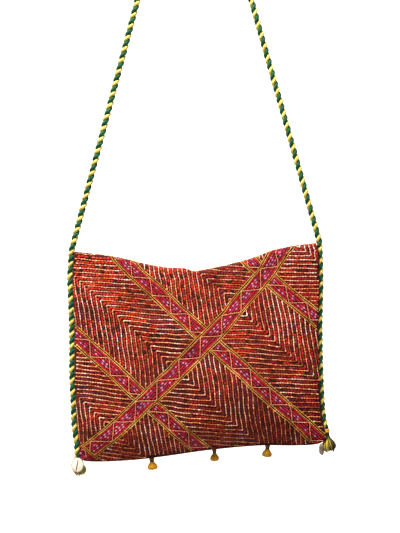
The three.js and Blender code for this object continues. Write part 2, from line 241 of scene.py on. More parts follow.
class Cloth:
    """The embroidered cloth as one run: flap, fold, back.

    A point of it is (across, run): run is the drop below the bag's top line on
    the flap, goes on round the fold and then down the back as it falls."""

    def __init__(self, steps=161):
        self.shares = np.linspace(-1, 1, steps)
        back = cover_depth(1, self.shares, 0.04)
        front = cover_depth(-1, self.shares, 0.04)
        self.middle = (back + front) / 2
        self.half = (back - front) / 2 + CLOTH
        self.rise = self.half * FOLD_FLATNESS
        self.spring = top_edge(self.shares) + self.rise
        self.arc = math.pi * (self.half + self.rise) / 2

    def at_share(self, values, share):
        return np.interp(share, self.shares, values)

    def share_of(self, across, run):
        """The share across for a point of the flat pattern."""
        down = np.clip(run, 0, BAG_HEIGHT)
        left, right = cloth_edges(down, FLAP_OVER_ROPE * (run > 10))
        return (across - left) / (right - left) * 2 - 1

    def point(self, share, run, lift=0.0):
        """Outer face of the cloth, lifted by so many millimetres; in mm, bag's directions."""
        share = np.clip(share, -1, 1)
        spring = self.at_share(self.spring, share)
        arc = self.at_share(self.arc, share)
        half = self.at_share(self.half, share)
        rise = self.at_share(self.rise, share)
        middle = self.at_share(self.middle, share)
        top = top_edge(share)
        room = hem(share) - FLAP_OVERHANG - top
        past = spring - run
        back_down = spring + past - arc
        # Flap and back: the pouch's form, let out by the cloth.
        front_h = np.clip((run - top) / room, 0.0, 1.03)
        back_h = np.clip((back_down - top) / room, 0.0, 1.03)
        front = cover_depth(-1, share, front_h) - CLOTH - lift
        back = cover_depth(1, share, back_h) + CLOTH + lift
        turn = math.pi * (1 - np.clip(past / arc, 0, 1))
        arc_y = middle + (half + lift) * np.cos(turn)
        arc_w = spring - (rise + lift) * np.sin(turn)
        # The straight parts take over from the roll softly.
        soft = 9.0
        front_mix = np.clip((run - spring) / soft, 0, 1)
        back_mix = np.clip((past - arc) / soft, 0, 1)
        front_mix = front_mix * front_mix * (3 - 2 * front_mix)
        back_mix = back_mix * back_mix * (3 - 2 * back_mix)
        base_front = middle - half - lift
        base_back = middle + half + lift
        on_front = run >= spring
        on_back = past >= arc
        depth = np.where(on_front, base_front + (front - base_front) * front_mix, arc_y)
        depth = np.where(on_back, base_back + (back - base_back) * back_mix, depth)
        down = np.where(on_front, run, np.where(on_back, back_down, arc_w))
        over = FLAP_OVER_ROPE * np.clip((run - spring) / 6.0, 0, 1)
        across = across_at(share, np.maximum(down, 0), over) + EDGE_REACH * share**9
        return across, depth, down

    def surface(self, share, run, lift=0.0):
        across, depth, down = self.point(share, run, lift)
        return place(across, depth, down)

    def frame_at(self, share, run):
        """Point and outward normal of the cloth, in metres."""
        step = 0.4
        here = self.surface(share, run)
        a = self.surface(share + step / 148, run) - self.surface(share - step / 148, run)
        b = self.surface(share, run + step) - self.surface(share, run - step)
        normal = np.cross(b, a)
        length = np.linalg.norm(normal, axis=-1, keepdims=True)
        return here, normal / np.maximum(length, 1e-12)


CLOTH_FORM = Cloth()


# Meshes.

def srgb(code):
    """An sRGB hex colour as linear values."""
    parts = [int(code[i:i + 2], 16) / 255 for i in (1, 3, 5)]
    return tuple(c / 12.92 if c <= 0.04045 else ((c + 0.055) / 1.055) ** 2.4 for c in parts) + (1.0,)


class Form:
    """Arrays of one mesh: vertices, lists of equal-sided faces, a dye and a run for each vertex."""

    def __init__(self, verts, faces, dye=None, run=None):
        self.verts = np.asarray(verts, dtype=float).reshape(-1, 3)
        self.faces = [np.asarray(group) for group in faces]
        self.dye = dye if dye is None else np.asarray(dye).reshape(-1, 4)
        self.run = run if run is None else np.asarray(run).reshape(-1, 2)


def joined(forms):
    """Several forms as one."""
    faces, base = [], 0
    for form in forms:
        faces += [group + base for group in form.faces]
        base += len(form.verts)
    return Form(np.concatenate([f.verts for f in forms]), faces, np.concatenate([f.dye for f in forms]),
                np.concatenate([f.run for f in forms]))


def make_object(name, form, material, smooth=True):
    """A mesh object from a form, with its dye and run as layers."""
    mesh = bpy.data.meshes.new(name)
    loops = np.concatenate([group.ravel() for group in form.faces]).astype(np.int32)
    totals = np.concatenate([np.full(len(group), group.shape[1]) for group in form.faces]).astype(np.int32)
    starts = np.concatenate([[0], np.cumsum(totals)[:-1]]).astype(np.int32)
    mesh.vertices.add(len(form.verts))
    mesh.vertices.foreach_set("co", form.verts.astype(np.float32).ravel())
    mesh.loops.add(len(loops))
    mesh.loops.foreach_set("vertex_index", loops)
    mesh.polygons.add(len(totals))
    mesh.polygons.foreach_set("loop_start", starts)
    mesh.polygons.foreach_set("loop_total", totals)
    mesh.update(calc_edges=True)
    mesh.polygons.foreach_set("use_smooth", np.full(len(totals), smooth))
    if form.dye is not None:
        layer = mesh.color_attributes.new("Dye", "FLOAT_COLOR", "POINT")
        layer.data.foreach_set("color", form.dye.astype(np.float32).ravel())
    if form.run is not None:
        layer = mesh.uv_layers.new(name="Run")
        layer.data.foreach_set("uv", form.run[loops].astype(np.float32).ravel())
    mesh.materials.append(material)
    obj = bpy.data.objects.new(name, mesh)
    bpy.context.scene.collection.objects.link(obj)
    return obj


def grid_faces(index, closed=True):
    """Quads between the rows of an index table; the rows close on themselves if closed."""
    nxt = np.roll(index, -1, axis=-1)
    if not closed:
        index, nxt = index[..., :-1], nxt[..., :-1]
    low, high = index[..., :-1, :], index[..., 1:, :]
    low_next, high_next = nxt[..., :-1, :], nxt[..., 1:, :]
    return np.stack([low, low_next, high_next, high], axis=-1).reshape(-1, 4)


def sweep(centres, normals, widths, heights, sides, dyes):
    """Tubes along many short lines of equal count.

    centres, normals: (lines, rings, 3); widths, heights: (lines, rings), metres."""
    lines, rings, _ = centres.shape
    along = np.gradient(centres, axis=1)
    along /= np.maximum(np.linalg.norm(along, axis=-1, keepdims=True), 1e-12)
    side = np.cross(along, normals)
    side /= np.maximum(np.linalg.norm(side, axis=-1, keepdims=True), 1e-12)
    up = np.cross(side, along)
    turn = 2 * np.pi * (np.arange(sides) + 0.5) / sides
    verts = (
        centres[:, :, None, :]
        + side[:, :, None, :] * (widths[:, :, None] * np.cos(turn))[..., None]
        + up[:, :, None, :] * (heights[:, :, None] * np.sin(turn))[..., None]
    )
    index = np.arange(lines * rings * sides).reshape(lines, rings, sides)
    faces = [grid_faces(index), index[:, 0, ::-1], index[:, -1, :]]
    step = np.linalg.norm(np.diff(centres, axis=1), axis=-1)
    run = np.concatenate([np.zeros((lines, 1)), np.cumsum(step, axis=1)], axis=1) / MM
    run = np.stack(np.broadcast_arrays(run[:, :, None], (np.arange(sides) / sides)[None, None, :]), -1)
    dye = np.broadcast_to(dyes[:, None, None, :], (lines, rings, sides, 4))
    return Form(verts, faces, dye, run)


# Materials.

def add_node(tree, kind, settings=None, inputs=None, links=None):
    """One node with its settings, socket values and links from other nodes' outputs."""
    node = tree.nodes.new(kind)
    for key, value in (settings or {}).items():
        setattr(node, key, value)
    for key, value in (inputs or {}).items():
        node.inputs[key].default_value = value
    for key, source in (links or {}).items():
        tree.links.new(source, node.inputs[key])
    return node


def new_material(name):
    material = bpy.data.materials.new(name)
    material.use_nodes = True
    tree = material.node_tree
    tree.nodes.clear()
    out = add_node(tree, "ShaderNodeOutputMaterial")
    shader = add_node(tree, "ShaderNodeBsdfPrincipled")
    tree.links.new(shader.outputs[0], out.inputs["Surface"])
    return material, tree, shader


def yarn_material(name, twist_mm, roughness=0.8, depth=0.6):
    """Dyed cotton yarn, twisted: matte, with no highlight, and its slanting plies show as fine
    dark lines, painted shade in the grooves between them. Single yarns are a little lighter or darker, as
    hand-dyed cotton is."""
    material, tree, shader = new_material(name)
    dye = add_node(tree, "ShaderNodeAttribute", {"attribute_name": "Dye"})
    uv = add_node(tree, "ShaderNodeUVMap", {"uv_map": "Run"})
    split = add_node(tree, "ShaderNodeSeparateXYZ", links={0: uv.outputs[0]})
    # One slant per twist: the run along the yarn in mm and the turn around it.
    along = add_node(tree, "ShaderNodeMath", {"operation": "DIVIDE"}, {1: twist_mm}, {0: split.outputs[0]})
    slant = add_node(tree, "ShaderNodeMath", {"operation": "ADD"},
                     links={0: along.outputs[0], 1: split.outputs[1]})
    turns = add_node(tree, "ShaderNodeMath", {"operation": "MULTIPLY"}, {1: 2 * math.pi * 2},
                     {0: slant.outputs[0]})
    wave = add_node(tree, "ShaderNodeMath", {"operation": "SINE"}, links={0: turns.outputs[0]})
    spot = add_node(tree, "ShaderNodeTexCoord")
    fuzz = add_node(tree, "ShaderNodeTexNoise", inputs={"Scale": 900.0, "Detail": 4.0, "Roughness": 0.7},
                    links={"Vector": spot.outputs["Object"]})
    lots = add_node(tree, "ShaderNodeTexNoise", inputs={"Scale": 60.0, "Detail": 3.0},
                    links={"Vector": spot.outputs["Object"]})
    # Painted shade: the colour is darkened where the twist's wave, and so the bump, sinks between the
    # plies.
    shade = add_node(tree, "ShaderNodeMapRange", inputs={1: -1.0, 2: 1.0, 3: 0.72, 4: 1.08},
                     links={0: wave.outputs[0]})
    tone_shift = add_node(tree, "ShaderNodeMapRange", inputs={1: 0.3, 2: 0.7, 3: 0.8, 4: 1.18},
                    links={0: lots.outputs[0]})
    both = add_node(tree, "ShaderNodeMath", {"operation": "MULTIPLY"},
                    links={0: shade.outputs[0], 1: tone_shift.outputs[0]})
    colour = add_node(tree, "ShaderNodeVectorMath", {"operation": "SCALE"},
                      links={0: dye.outputs["Color"], "Scale": both.outputs[0]})
    tree.links.new(colour.outputs[0], shader.inputs["Base Color"])
    relief = add_node(tree, "ShaderNodeMath", {"operation": "MULTIPLY_ADD"}, {1: 0.5},
                      {0: wave.outputs[0], 2: fuzz.outputs[0]})
    bump = add_node(tree, "ShaderNodeBump", inputs={"Strength": depth, "Distance": 0.0002},
                    links={"Height": relief.outputs[0]})
    tree.links.new(bump.outputs[0], shader.inputs["Normal"])
    rough = add_node(tree, "ShaderNodeMapRange",
                     inputs={1: 0.2, 2: 0.8, 3: roughness - 0.1, 4: roughness + 0.12},
                     links={0: fuzz.outputs[0]})
    tree.links.new(rough.outputs[0], shader.inputs["Roughness"])
    shader.inputs["Sheen Weight"].default_value = 0.05
    shader.inputs["Sheen Roughness"].default_value = 0.45
    shader.inputs["Specular IOR Level"].default_value = 0.15
    return material


def woven_material(name, light, dark, spacing_mm):
    """Plain weave cotton, dyed in the piece: dull, with a fine chequer of threads going over and
    under, darker where they go under as painted shade, and slubs that took the dye unevenly."""
    material, tree, shader = new_material(name)
    uv = add_node(tree, "ShaderNodeUVMap", {"uv_map": "Run"})
    split = add_node(tree, "ShaderNodeSeparateXYZ", links={0: uv.outputs[0]})
    waves = []
    for axis in (0, 1):
        turns = add_node(tree, "ShaderNodeMath", {"operation": "MULTIPLY"}, {1: math.pi / spacing_mm},
                         {0: split.outputs[axis]})
        waves.append(add_node(tree, "ShaderNodeMath", {"operation": "SINE"}, links={0: turns.outputs[0]}))
    weave = add_node(tree, "ShaderNodeMath", {"operation": "MULTIPLY"},
                     links={0: waves[0].outputs[0], 1: waves[1].outputs[0]})
    spot = add_node(tree, "ShaderNodeTexCoord")
    slub = add_node(tree, "ShaderNodeTexNoise", inputs={"Scale": 140.0, "Detail": 6.0, "Roughness": 0.65},
                    links={"Vector": spot.outputs["Object"]})
    height = add_node(tree, "ShaderNodeMath", {"operation": "ADD"},
                      links={0: weave.outputs[0], 1: slub.outputs[0]})
    bump = add_node(tree, "ShaderNodeBump", inputs={"Strength": 0.6, "Distance": 0.0003},
                    links={"Height": height.outputs[0]})
    tree.links.new(bump.outputs[0], shader.inputs["Normal"])
    # Painted shade: the weave's low points darken the colour, with the slubs' uneven dye added.
    mix_in = add_node(tree, "ShaderNodeMath", {"operation": "MULTIPLY_ADD"}, {1: 0.22},
                      {0: weave.outputs[0], 2: slub.outputs[0]})
    ramp = add_node(tree, "ShaderNodeValToRGB", links={0: mix_in.outputs[0]})
    ramp.color_ramp.elements[0].position = 0.3
    ramp.color_ramp.elements[0].color = dark
    ramp.color_ramp.elements[1].position = 0.78
    ramp.color_ramp.elements[1].color = light
    tree.links.new(ramp.outputs[0], shader.inputs["Base Color"])
    shader.inputs["Roughness"].default_value = 0.88
    shader.inputs["Sheen Weight"].default_value = 0.05
    shader.inputs["Specular IOR Level"].default_value = 0.1
    return material


# Cloth.

def cloth_grid(across_steps, front_run):
    """Shares across and run values from the flap's hem over the fold to the back's hem."""
    turn = np.linspace(-1, 1, across_steps + 1)
    shares = np.sin(turn * math.pi / 2) * 0.25 + turn * 0.75
    return shares, np.linspace(0, 1, front_run + 1)


def run_at(share, part):
    """Run for a share of the whole length of cloth: 0 at the flap's hem, 1 at the back's."""
    low = hem(share)
    spring = CLOTH_FORM.at_share(CLOTH_FORM.spring, share)
    arc = CLOTH_FORM.at_share(CLOTH_FORM.arc, share)
    whole = (low - spring) + arc + (low - spring)
    return low - part * whole


def build_cloth(settings):
    """The embroidered cloth as a closed sheet of even thickness."""
    shares, parts = cloth_grid(120, 216)
    s, t = np.meshgrid(shares, parts, indexing="ij")
    run = run_at(s, t)
    outer = CLOTH_FORM.surface(s, run, 0.0)
    inner = CLOTH_FORM.surface(s, run, -CLOTH)
    across = s * BAG_WIDTH / 2
    n, m = s.shape
    index = np.arange(n * m).reshape(n, m)
    quad = np.stack([index[:-1, :-1], index[:-1, 1:], index[1:, 1:], index[1:, :-1]], -1).reshape(-1, 4)
    inner_quad = quad + n * m
    rim = np.concatenate([index[0, :], index[1:, -1], index[-1, -2::-1], index[-2:0:-1, 0]])
    rim_next = np.roll(rim, -1)
    rim_quad = np.stack([rim, rim_next, rim_next + n * m, rim + n * m], -1)
    verts = np.concatenate([outer.reshape(-1, 3), inner.reshape(-1, 3)])
    uvs = np.stack([across, run], -1).reshape(-1, 2)
    # The real threads lie about 0.5 mm apart; they are drawn at 0.9 mm so that they show.
    ground = woven_material("Cotton_handwoven_ground", settings.ground_dye, srgb("#200605"), 0.9)
    faces = [quad[:, ::-1], inner_quad, rim_quad]
    return make_object("embroidered_cloth", Form(verts, faces, run=np.concatenate([uvs, uvs])), ground)


# The lattice and its stitches.

def from_lattice(along, away):
    """A point of the cloth for a run along the main band and a distance from it, mm."""
    total = MAIN_AWAY - away
    for _ in range(4):
        diff = (along / BAND_PITCH - CROSS_START + CROSS_LEAN * total) / CROSS_STEP
        t = np.clip(diff / MAIN_REACH, *MAIN_ENDS)
        total = MAIN_AWAY - MAIN_LEAN * t - MAIN_CURVE * t * t - away
    return (total + diff) * HALF_ROOT, (total - diff) * HALF_ROOT


def soft_noise(x, y, size, seed):
    """Smooth noise from 0 to 1 over a plane, the same each run."""
    grid = np.random.RandomState(seed).rand(64, 64)
    gx, gy = np.asarray(x) / size + 31.3, np.asarray(y) / size + 17.7
    ix, iy = np.floor(gx).astype(int), np.floor(gy).astype(int)
    fx, fy = gx - ix, gy - iy
    fx, fy = fx * fx * (3 - 2 * fx), fy * fy * (3 - 2 * fy)
    a = grid[ix % 64, iy % 64] * (1 - fx) + grid[(ix + 1) % 64, iy % 64] * fx
    b = grid[ix % 64, (iy + 1) % 64] * (1 - fx) + grid[(ix + 1) % 64, (iy + 1) % 64] * fx
    return a * (1 - fy) + b * fy


def wander(across, run, which):
    """How far the hand-stitched rows stray from the plan, mm."""
    slow = soft_noise(across, run, 38, 20 + which) - 0.5
    quick = soft_noise(across, run, 11, 24 + which) - 0.5
    return 2.6 * slow + 0.9 * quick


# Places where a fold draws the pattern aside: centre across and down, reach, then the shift.
PULLS = ((-101, 6, 23, 5.0, 0), (108, 2, 22, -3.4, 0))


def pulled(across, run):
    """The pattern's points, drawn aside by the folds."""
    for u, w, reach, shift_u, shift_w in PULLS:
        near = np.exp(-((across - u) ** 2 + (run - w) ** 2) / reach ** 2)
        across, run = across + shift_u * near, run + shift_w * near
    return across, run


def stitches_on(line_from, line_to, stitch, gap, rings, draws, wave=0.0, jitter=0.0):
    """Stitches along straight lattice lines: arrays of (stitches, rings) along and away."""
    out_a, out_b = [], []
    part = np.linspace(0, 1, rings)
    for (a0, b0), (a1, b1) in zip(line_from, line_to):
        length = math.hypot(a1 - a0, b1 - b0)
        count = int(length // (stitch + gap))
        if count < 1:
            continue
        whole = length / count
        start = (np.arange(count) + 0.5 * gap / (stitch + gap)) * whole
        run = start[:, None] + part[None, :] * whole * stitch / (stitch + gap)
        side = draws.normal(0, 1, (count, 1)) * jitter
        if wave:
            phase = draws.uniform(0, 6.28)
            side = side + wave * np.sin(run / 7.0 + phase)
        ua, ub = (a1 - a0) / length, (b1 - b0) / length
        out_a.append(a0 + ua * run - ub * side)
        out_b.append(b0 + ub * run + ua * side)
    return np.concatenate(out_a), np.concatenate(out_b)


def thread_set(along, away, half_width, half_height, sides, palette, dyes, front, draws, lift=0.0):
    """Sweep one kind of stitch over the cloth; front or back half of it."""
    across, run = from_lattice(along, away)
    across, run = pulled(across + wander(across, run, 0), run + wander(across, run, 1))
    middle = across.shape[1] // 2
    share = CLOTH_FORM.share_of(across, run)
    # The pattern is laid out as it is seen, so the roll at the top takes a little more of it.
    rise = CLOTH_FORM.at_share(CLOTH_FORM.rise, share)
    rolled = np.clip((CLOTH_FORM.at_share(CLOTH_FORM.spring, share) - run) / rise, 0, 1)
    run = run - 0.77 * rise * rolled ** 2
    spring = CLOTH_FORM.at_share(CLOTH_FORM.spring, share[:, middle])
    arc = CLOTH_FORM.at_share(CLOTH_FORM.arc, share[:, middle])
    low = hem(share[:, middle])
    back_end = spring - arc - (low - spring)
    keep = (np.abs(share) < 0.998).all(axis=1) & (run < (low - 1.2)[:, None]).all(axis=1)
    keep &= (run > (back_end + 1.2)[:, None]).all(axis=1)
    limit = spring - arc * 0.62
    keep &= (run[:, middle] >= limit) if front else (run[:, middle] < limit)
    share, run, across, away, along = share[keep], run[keep], across[keep], away[keep], along[keep]
    count, rings = share.shape
    centre, normal = CLOTH_FORM.frame_at(share, run)
    part = np.linspace(0, 1, rings)
    swell = 0.42 + 0.58 * np.sin(np.pi * part) ** 0.6
    size = draws.uniform(0.88, 1.12, (count, 1))
    widths = half_width * swell[None, :] * size * MM
    heights = half_height * swell[None, :] * size * MM
    lifts = (lift + half_height * (0.1 + 0.75 * np.sin(np.pi * part) ** 0.7))[None, :] * size * MM
    centre = centre + normal * lifts[..., None]
    pick = palette(dyes, across[:, middle], run[:, middle], along[:, middle], away[:, middle], draws)
    return sweep(centre, normal, widths, heights, sides, pick)


def shades_of(codes, dye):
    """Linear shades of a yarn, moved so that the middle one is the dye given."""
    shades = np.array([srgb(code) for code in codes])
    return shades * (np.array(dye) / shades[len(codes) // 2])


def blend_shades(shades, amount):
    """Colours along a short row of shades for amounts from 0 to 1."""
    at = np.clip(amount, 0, 1) * (len(shades) - 1)
    low = np.clip(np.floor(at).astype(int), 0, len(shades) - 2)
    part = (at - low)[:, None]
    return shades[low] * (1 - part) + shades[low + 1] * part


def uneven(colours, draws, spread):
    """Each stitch a little lighter or darker than the next."""
    shade = draws.normal(1, spread, (len(colours), 1)).clip(0.5, 1.5)
    out = colours * shade
    out[:, 3] = 1
    return out


def pale_palette(dyes, across, run, along, away, draws):
    """Pale rows: lighter along the top, painted light, and darker low down on the right, painted shade."""
    # Painted shade low down on the right and painted light along the top, both taken off the rows' tone.
    low = 0.2 * np.clip((run - 130) / 80, 0, 1) * np.clip((across + 80) / 100, 0.55, 1)
    low = low - 0.09 * np.clip((32 - run) / 32, 0, 1)
    tone = 0.6 * soft_noise(across, run, 26, 3) + 0.5 * soft_noise(across, run, 5, 4) - 0.03 - low
    tone = tone + draws.normal(0, 0.17, len(across))
    return uneven(blend_shades(dyes, tone), draws, 0.12)


def red_palette(dyes, across, run, along, away, draws):
    """Red rows: darker low down, painted shade, with a few plum and a few almost black stitches."""
    # Painted shade: the rows are drawn darker low down, a little more on the right.
    tone_shift = np.clip((across + 150) / 200, 0.85, 1) * np.clip((run - 90) / 100, 0, 1)
    tone = 0.6 * soft_noise(across, run, 30, 5) + 0.25 * soft_noise(across, run, 7, 6) + 0.1 - 0.36 * tone_shift
    tone = tone + draws.normal(0, 0.1, len(across))
    base = blend_shades(dyes, tone)
    plum = (soft_noise(across, run, 18, 8) > 0.72) & (draws.rand(len(across)) > 0.6)
    base[plum] = srgb("#6A1430")
    base[draws.rand(len(across)) < 0.12] = srgb("#3C080A")
    return uneven(base, draws, 0.12)


def gold_palette(dyes, across, run, along, away, draws):
    tone = 0.8 * soft_noise(across, run, 12, 7) + draws.normal(0.1, 0.15, len(across))
    return uneven(blend_shades(dyes, tone), draws, 0.12)


def zigzag_palette(dyes, across, run, along, away, draws):
    tone = 0.5 + draws.normal(0, 0.15, len(across))
    return uneven(blend_shades(dyes, tone), draws, 0.06)


def band_palette(dyes, across, run, along, away, draws):
    """Crimson filling, with plum and pink stitches in the middle of each zigzag's triangle."""
    on_main = (np.abs(away) < MAIN_EDGE) | (np.abs(away - SECOND_MAIN) < MAIN_EDGE)
    main_at = np.where(np.abs(away) < MAIN_EDGE, 0.0, SECOND_MAIN)
    band_at = np.round(along / BAND_PITCH) * BAND_PITCH
    out = np.where(on_main, away - main_at, along - band_at)
    forth = np.where(on_main, along, away)
    edge = np.where(on_main, MAIN_EDGE, BAND_EDGE) - EDGE_PAIR
    zig = np.where(on_main, zigzag_height(along, True), zigzag_height(away, False)) * (edge - 1.0)
    clear = np.minimum(np.abs(out - zig) * ZIGZAG_CLEAR, edge - np.abs(out) + 0.6)
    base = blend_shades(dyes, draws.rand(len(along)))
    inner = clear > 3.3
    pair = (np.floor(forth / FILL_STEP) + np.floor((out + 40) / 2.6)) % 2 > 0.5
    choice = draws.rand(len(along))
    base[inner & (choice < 0.5)] = srgb("#861A4C")
    base[inner & (choice >= 0.85)] = srgb("#B82454")
    base[(clear > 2.9) & pair & (choice < 0.72)] = srgb("#CC7C9C")
    return uneven(base, draws, 0.1)


def field_lines(offset, spacing):
    """Nested right-angle rows of the fields, as lattice lines; offset 0 pale, 0.5 red."""
    begin, end = [], []
    reach = BAND_PITCH / 2 - BAND_EDGE - ROW_GAP
    inner = MAIN_EDGE + ROW_GAP
    for strip in range(-6, 7):
        middle = (strip + 0.5) * BAND_PITCH
        step = spacing * CLOSE_ROWS.get(strip, 1) * math.hypot(1, ROW_SLANT)
        for half in (-1, 1):
            start = 0.6 if half > 0 and strip == 0 else 0
            for level in range(1, 70):
                far = (level + offset + start) * step
                for arm in (-1, 1):
                    # The row goes from its corner to the band, or ends at a main band.
                    shifted = arm < 0 and strip == LOW_BAND
                    last = min(reach - LOW_BAND_SHIFT * shifted, (far - inner) / ROW_SLANT)
                    if last < 1.5:
                        continue
                    begin.append((middle, half * far))
                    end.append((middle + arm * last, half * (far - last * ROW_SLANT)))
    return begin, end


def outside_second(begin, end):
    """Cut the rows where the second main band lies."""
    out_a, out_b = [], []
    low, high = SECOND_MAIN - MAIN_EDGE - ROW_GAP, SECOND_MAIN + MAIN_EDGE + ROW_GAP
    for (a0, b0), (a1, b1) in zip(begin, end):
        for lo, hi in ((-1e4, low), (high, 1e4)):
            t0, t1 = 0.0, 1.0
            d = b1 - b0
            if abs(d) < 1e-9:
                if not lo <= b0 <= hi:
                    continue
            else:
                ta, tb = (lo - b0) / d, (hi - b0) / d
                t0, t1 = max(t0, min(ta, tb)), min(t1, max(ta, tb))
            if t1 - t0 > 0.02:
                out_a.append((a0 + (a1 - a0) * t0, b0 + d * t0))
                out_b.append((a0 + (a1 - a0) * t1, b0 + d * t1))
    return out_a, out_b


def band_spans():
    """Stretches of each band: (runs along the main band?, place across, from, to)."""
    spans = []
    spans.append((True, 0.0, LOW_BAND * BAND_PITCH + LOW_BAND_SHIFT + BAND_EDGE + 0.6, 7 * BAND_PITCH))
    spans.append((True, SECOND_MAIN, -6 * BAND_PITCH, 7 * BAND_PITCH))
    for strip in range(-6, 7):
        at = strip * BAND_PITCH
        if strip == LOW_BAND:
            spans.append((False, at + LOW_BAND_SHIFT, -6 * BAND_PITCH, SECOND_MAIN - MAIN_EDGE - 0.6))
            continue
        spans.append((False, at, MAIN_EDGE + 0.6, SECOND_MAIN - MAIN_EDGE - 0.6))
        spans.append((False, at, -6 * BAND_PITCH, -MAIN_EDGE - 0.6))
        spans.append((False, at, SECOND_MAIN + MAIN_EDGE + 0.6, 6 * BAND_PITCH))
    return spans


def edge_lines():
    """The two gold rows along each side of each band."""
    begin, end = [], []
    for main, at, low, high in band_spans():
        edge = MAIN_EDGE if main else BAND_EDGE
        for side in (-1, 1):
            for step in (0, EDGE_PAIR):
                across = at + side * (edge - step)
                if main:
                    begin.append((low, across))
                    end.append((high, across))
                else:
                    begin.append((across, low))
                    end.append((across, high))
    return begin, end


def zigzag_height(run, main):
    """The zigzag's place across a band, from -1 to 1, at a run along it."""
    period, phase = MAIN_ZIGZAG if main else BAND_ZIGZAG
    part = ((run - phase) / period) % 1.0
    tri = 1 - 4 * np.abs(part - 0.5)
    return np.clip(tri * 1.12, -1, 1)


def zigzag_lines():
    """The zigzag of each band, one line for each stitch."""
    begin, end = [], []
    for main, at, low, high in band_spans():
        reach = (MAIN_EDGE if main else BAND_EDGE) - EDGE_PAIR - 1.0
        run = np.arange(low, high, ZIGZAG_STITCH)
        across = at + reach * zigzag_height(run, main)
        for i in range(len(run) - 1):
            a, b = (run[i], across[i]), (run[i + 1], across[i + 1])
            if not main:
                a, b = a[::-1], b[::-1]
            begin.append(a)
            end.append(b)
    return begin, end


def filling():
    """Short stitches that fill the bands in rows along them, away from the zigzag."""
    begin, end = [], []
    for main, at, low, high in band_spans():
        edge = (MAIN_EDGE if main else BAND_EDGE) - EDGE_PAIR
        reach = edge - 1.0
        rows = 6 if main else 5
        for row in range(rows):
            across = ((row + 0.5) / rows * 2 - 1) * (edge - 0.4)
            shift = (row % 2) * FILL_SHIFT
            for run in np.arange(low + shift, high - 2, FILL_STEP):
                zig = zigzag_height(np.array(run + 1.0), main) * reach
                if abs(across - zig) * ZIGZAG_CLEAR < 1.1:
                    continue
                a = (run, at + across)
                b = (run + FILL_STITCH, at + across)
                if not main:
                    a, b = a[::-1], b[::-1]
                begin.append(a)
                end.append(b)
    return begin, end


def straight(lines, rings):
    """One stitch along the whole of each line."""
    begin, end = np.array(lines[0]), np.array(lines[1])
    whole = begin[:, None, :] + (end - begin)[:, None, :] * np.linspace(0, 1, rings)[None, :, None]
    return whole[..., 0], whole[..., 1]


def build_embroidery(settings):
    """Every stitch as raised thread, front and back apart."""
    made = []
    # The thread's real twist is about 1 mm long; it is drawn at 1.6 mm so that it shows.
    yarn = yarn_material("Cotton_embroidery_thread_twisted", 1.6)
    spacing = round(settings.row_spacing / MM, 3)
    pale_lines = outside_second(*field_lines(0.0, spacing))
    red_lines = outside_second(*field_lines(0.5, spacing))
    edges, zigzags, fills = edge_lines(), zigzag_lines(), filling()
    pale = shades_of(PALE_DYES, settings.pale_dye)
    red = shades_of(RED_DYES, settings.red_dye)
    gold = shades_of(GOLD_DYES, settings.gold_dye)
    peach = shades_of(ZIGZAG_DYES, settings.zigzag_dye)
    crimson = shades_of(BAND_DYES, settings.band_dye)
    for face, front in (("flap", True), ("back", False)):
        draws = np.random.RandomState(11 if front else 12)
        sides, rings = (5, 4) if front else (4, 3)
        along, away = stitches_on(*pale_lines, 2.7, 0.25, rings, draws, 0.28, 0.1)
        rows = thread_set(along, away, 0.68, 0.76, sides, pale_palette, pale, front, draws)
        made.append(make_object(f"pale_rows_{face}", rows, yarn))
        along, away = stitches_on(*red_lines, 3.4, 0.35, rings, draws, 0.28, 0.14)
        rows = thread_set(along, away, 1.4, 0.36, sides, red_palette, red, front, draws)
        made.append(make_object(f"red_rows_{face}", rows, yarn))
        along, away = stitches_on(*edges, 3.0, 0.05, rings, draws, 0.1, 0.05)
        edge = thread_set(along, away, 0.44, 0.6, sides, gold_palette, gold, front, draws)
        along, away = straight(zigzags, rings)
        zigzag = thread_set(along, away, 0.44, 0.55, sides, zigzag_palette, peach, front, draws, lift=0.2)
        along, away = straight(fills, rings)
        fill = thread_set(along, away, 1.16, 0.42, sides, band_palette, crimson, front, draws)
        made.append(make_object(f"band_stitches_{face}", joined([edge, zigzag, fill]), yarn))
    return made


# Pouch.

def build_pouch(settings):
    """The plain inner bag: two walls, open at the top under the flap."""
    shares = np.sin(np.linspace(-1, 1, 61) * math.pi / 2) * 0.4 + np.linspace(-1, 1, 61) * 0.6
    around = np.concatenate([shares, shares[::-1]])
    face = np.concatenate([-np.ones(61), np.ones(61)])
    outer_h = np.linspace(MOUTH_SHARE, 1, 34)
    inner_h = MOUTH_SHARE + (outer_h[::-1] - MOUTH_SHARE) * 0.972
    rings, uvs = [], []
    for heights, inner in ((inner_h, True), (outer_h, False)):
        for height in heights:
            down = top_edge(around) + height * (hem(around) - FLAP_OVERHANG - top_edge(around))
            front = pouch_depth(-1, around, height)
            back = pouch_depth(1, around, height)
            depth = np.where(face < 0, front, back)
            if inner:
                depth = face * np.maximum(np.abs(depth) - CLOTH, 0.4)
            across = across_at(around * (1 - 10 / BAG_WIDTH if inner else 1), down, 0)
            rings.append(place(across, depth, down))
            uvs.append(np.stack([around * BAG_WIDTH / 2, down], -1))
    rings = np.array(rings)
    count = rings.shape[1]
    index = np.arange(rings.shape[0] * count).reshape(rings.shape[0], count)
    walls = grid_faces(index)[:, ::-1]
    half = np.arange(60)
    first, last = index[0], index[-1]
    floors = [
        np.stack([first[half], first[half + 1], first[count - 2 - half], first[count - 1 - half]], -1),
        np.stack([last[half], last[count - 1 - half], last[count - 2 - half], last[half + 1]], -1),
    ]
    plain = woven_material("Cotton_plain_weave_dyed", settings.pocket_dye, srgb("#3C100C"), 0.8)
    return make_object("pouch_cloth", Form(rings, [walls, *floors], run=np.array(uvs)), plain)


# Rope.

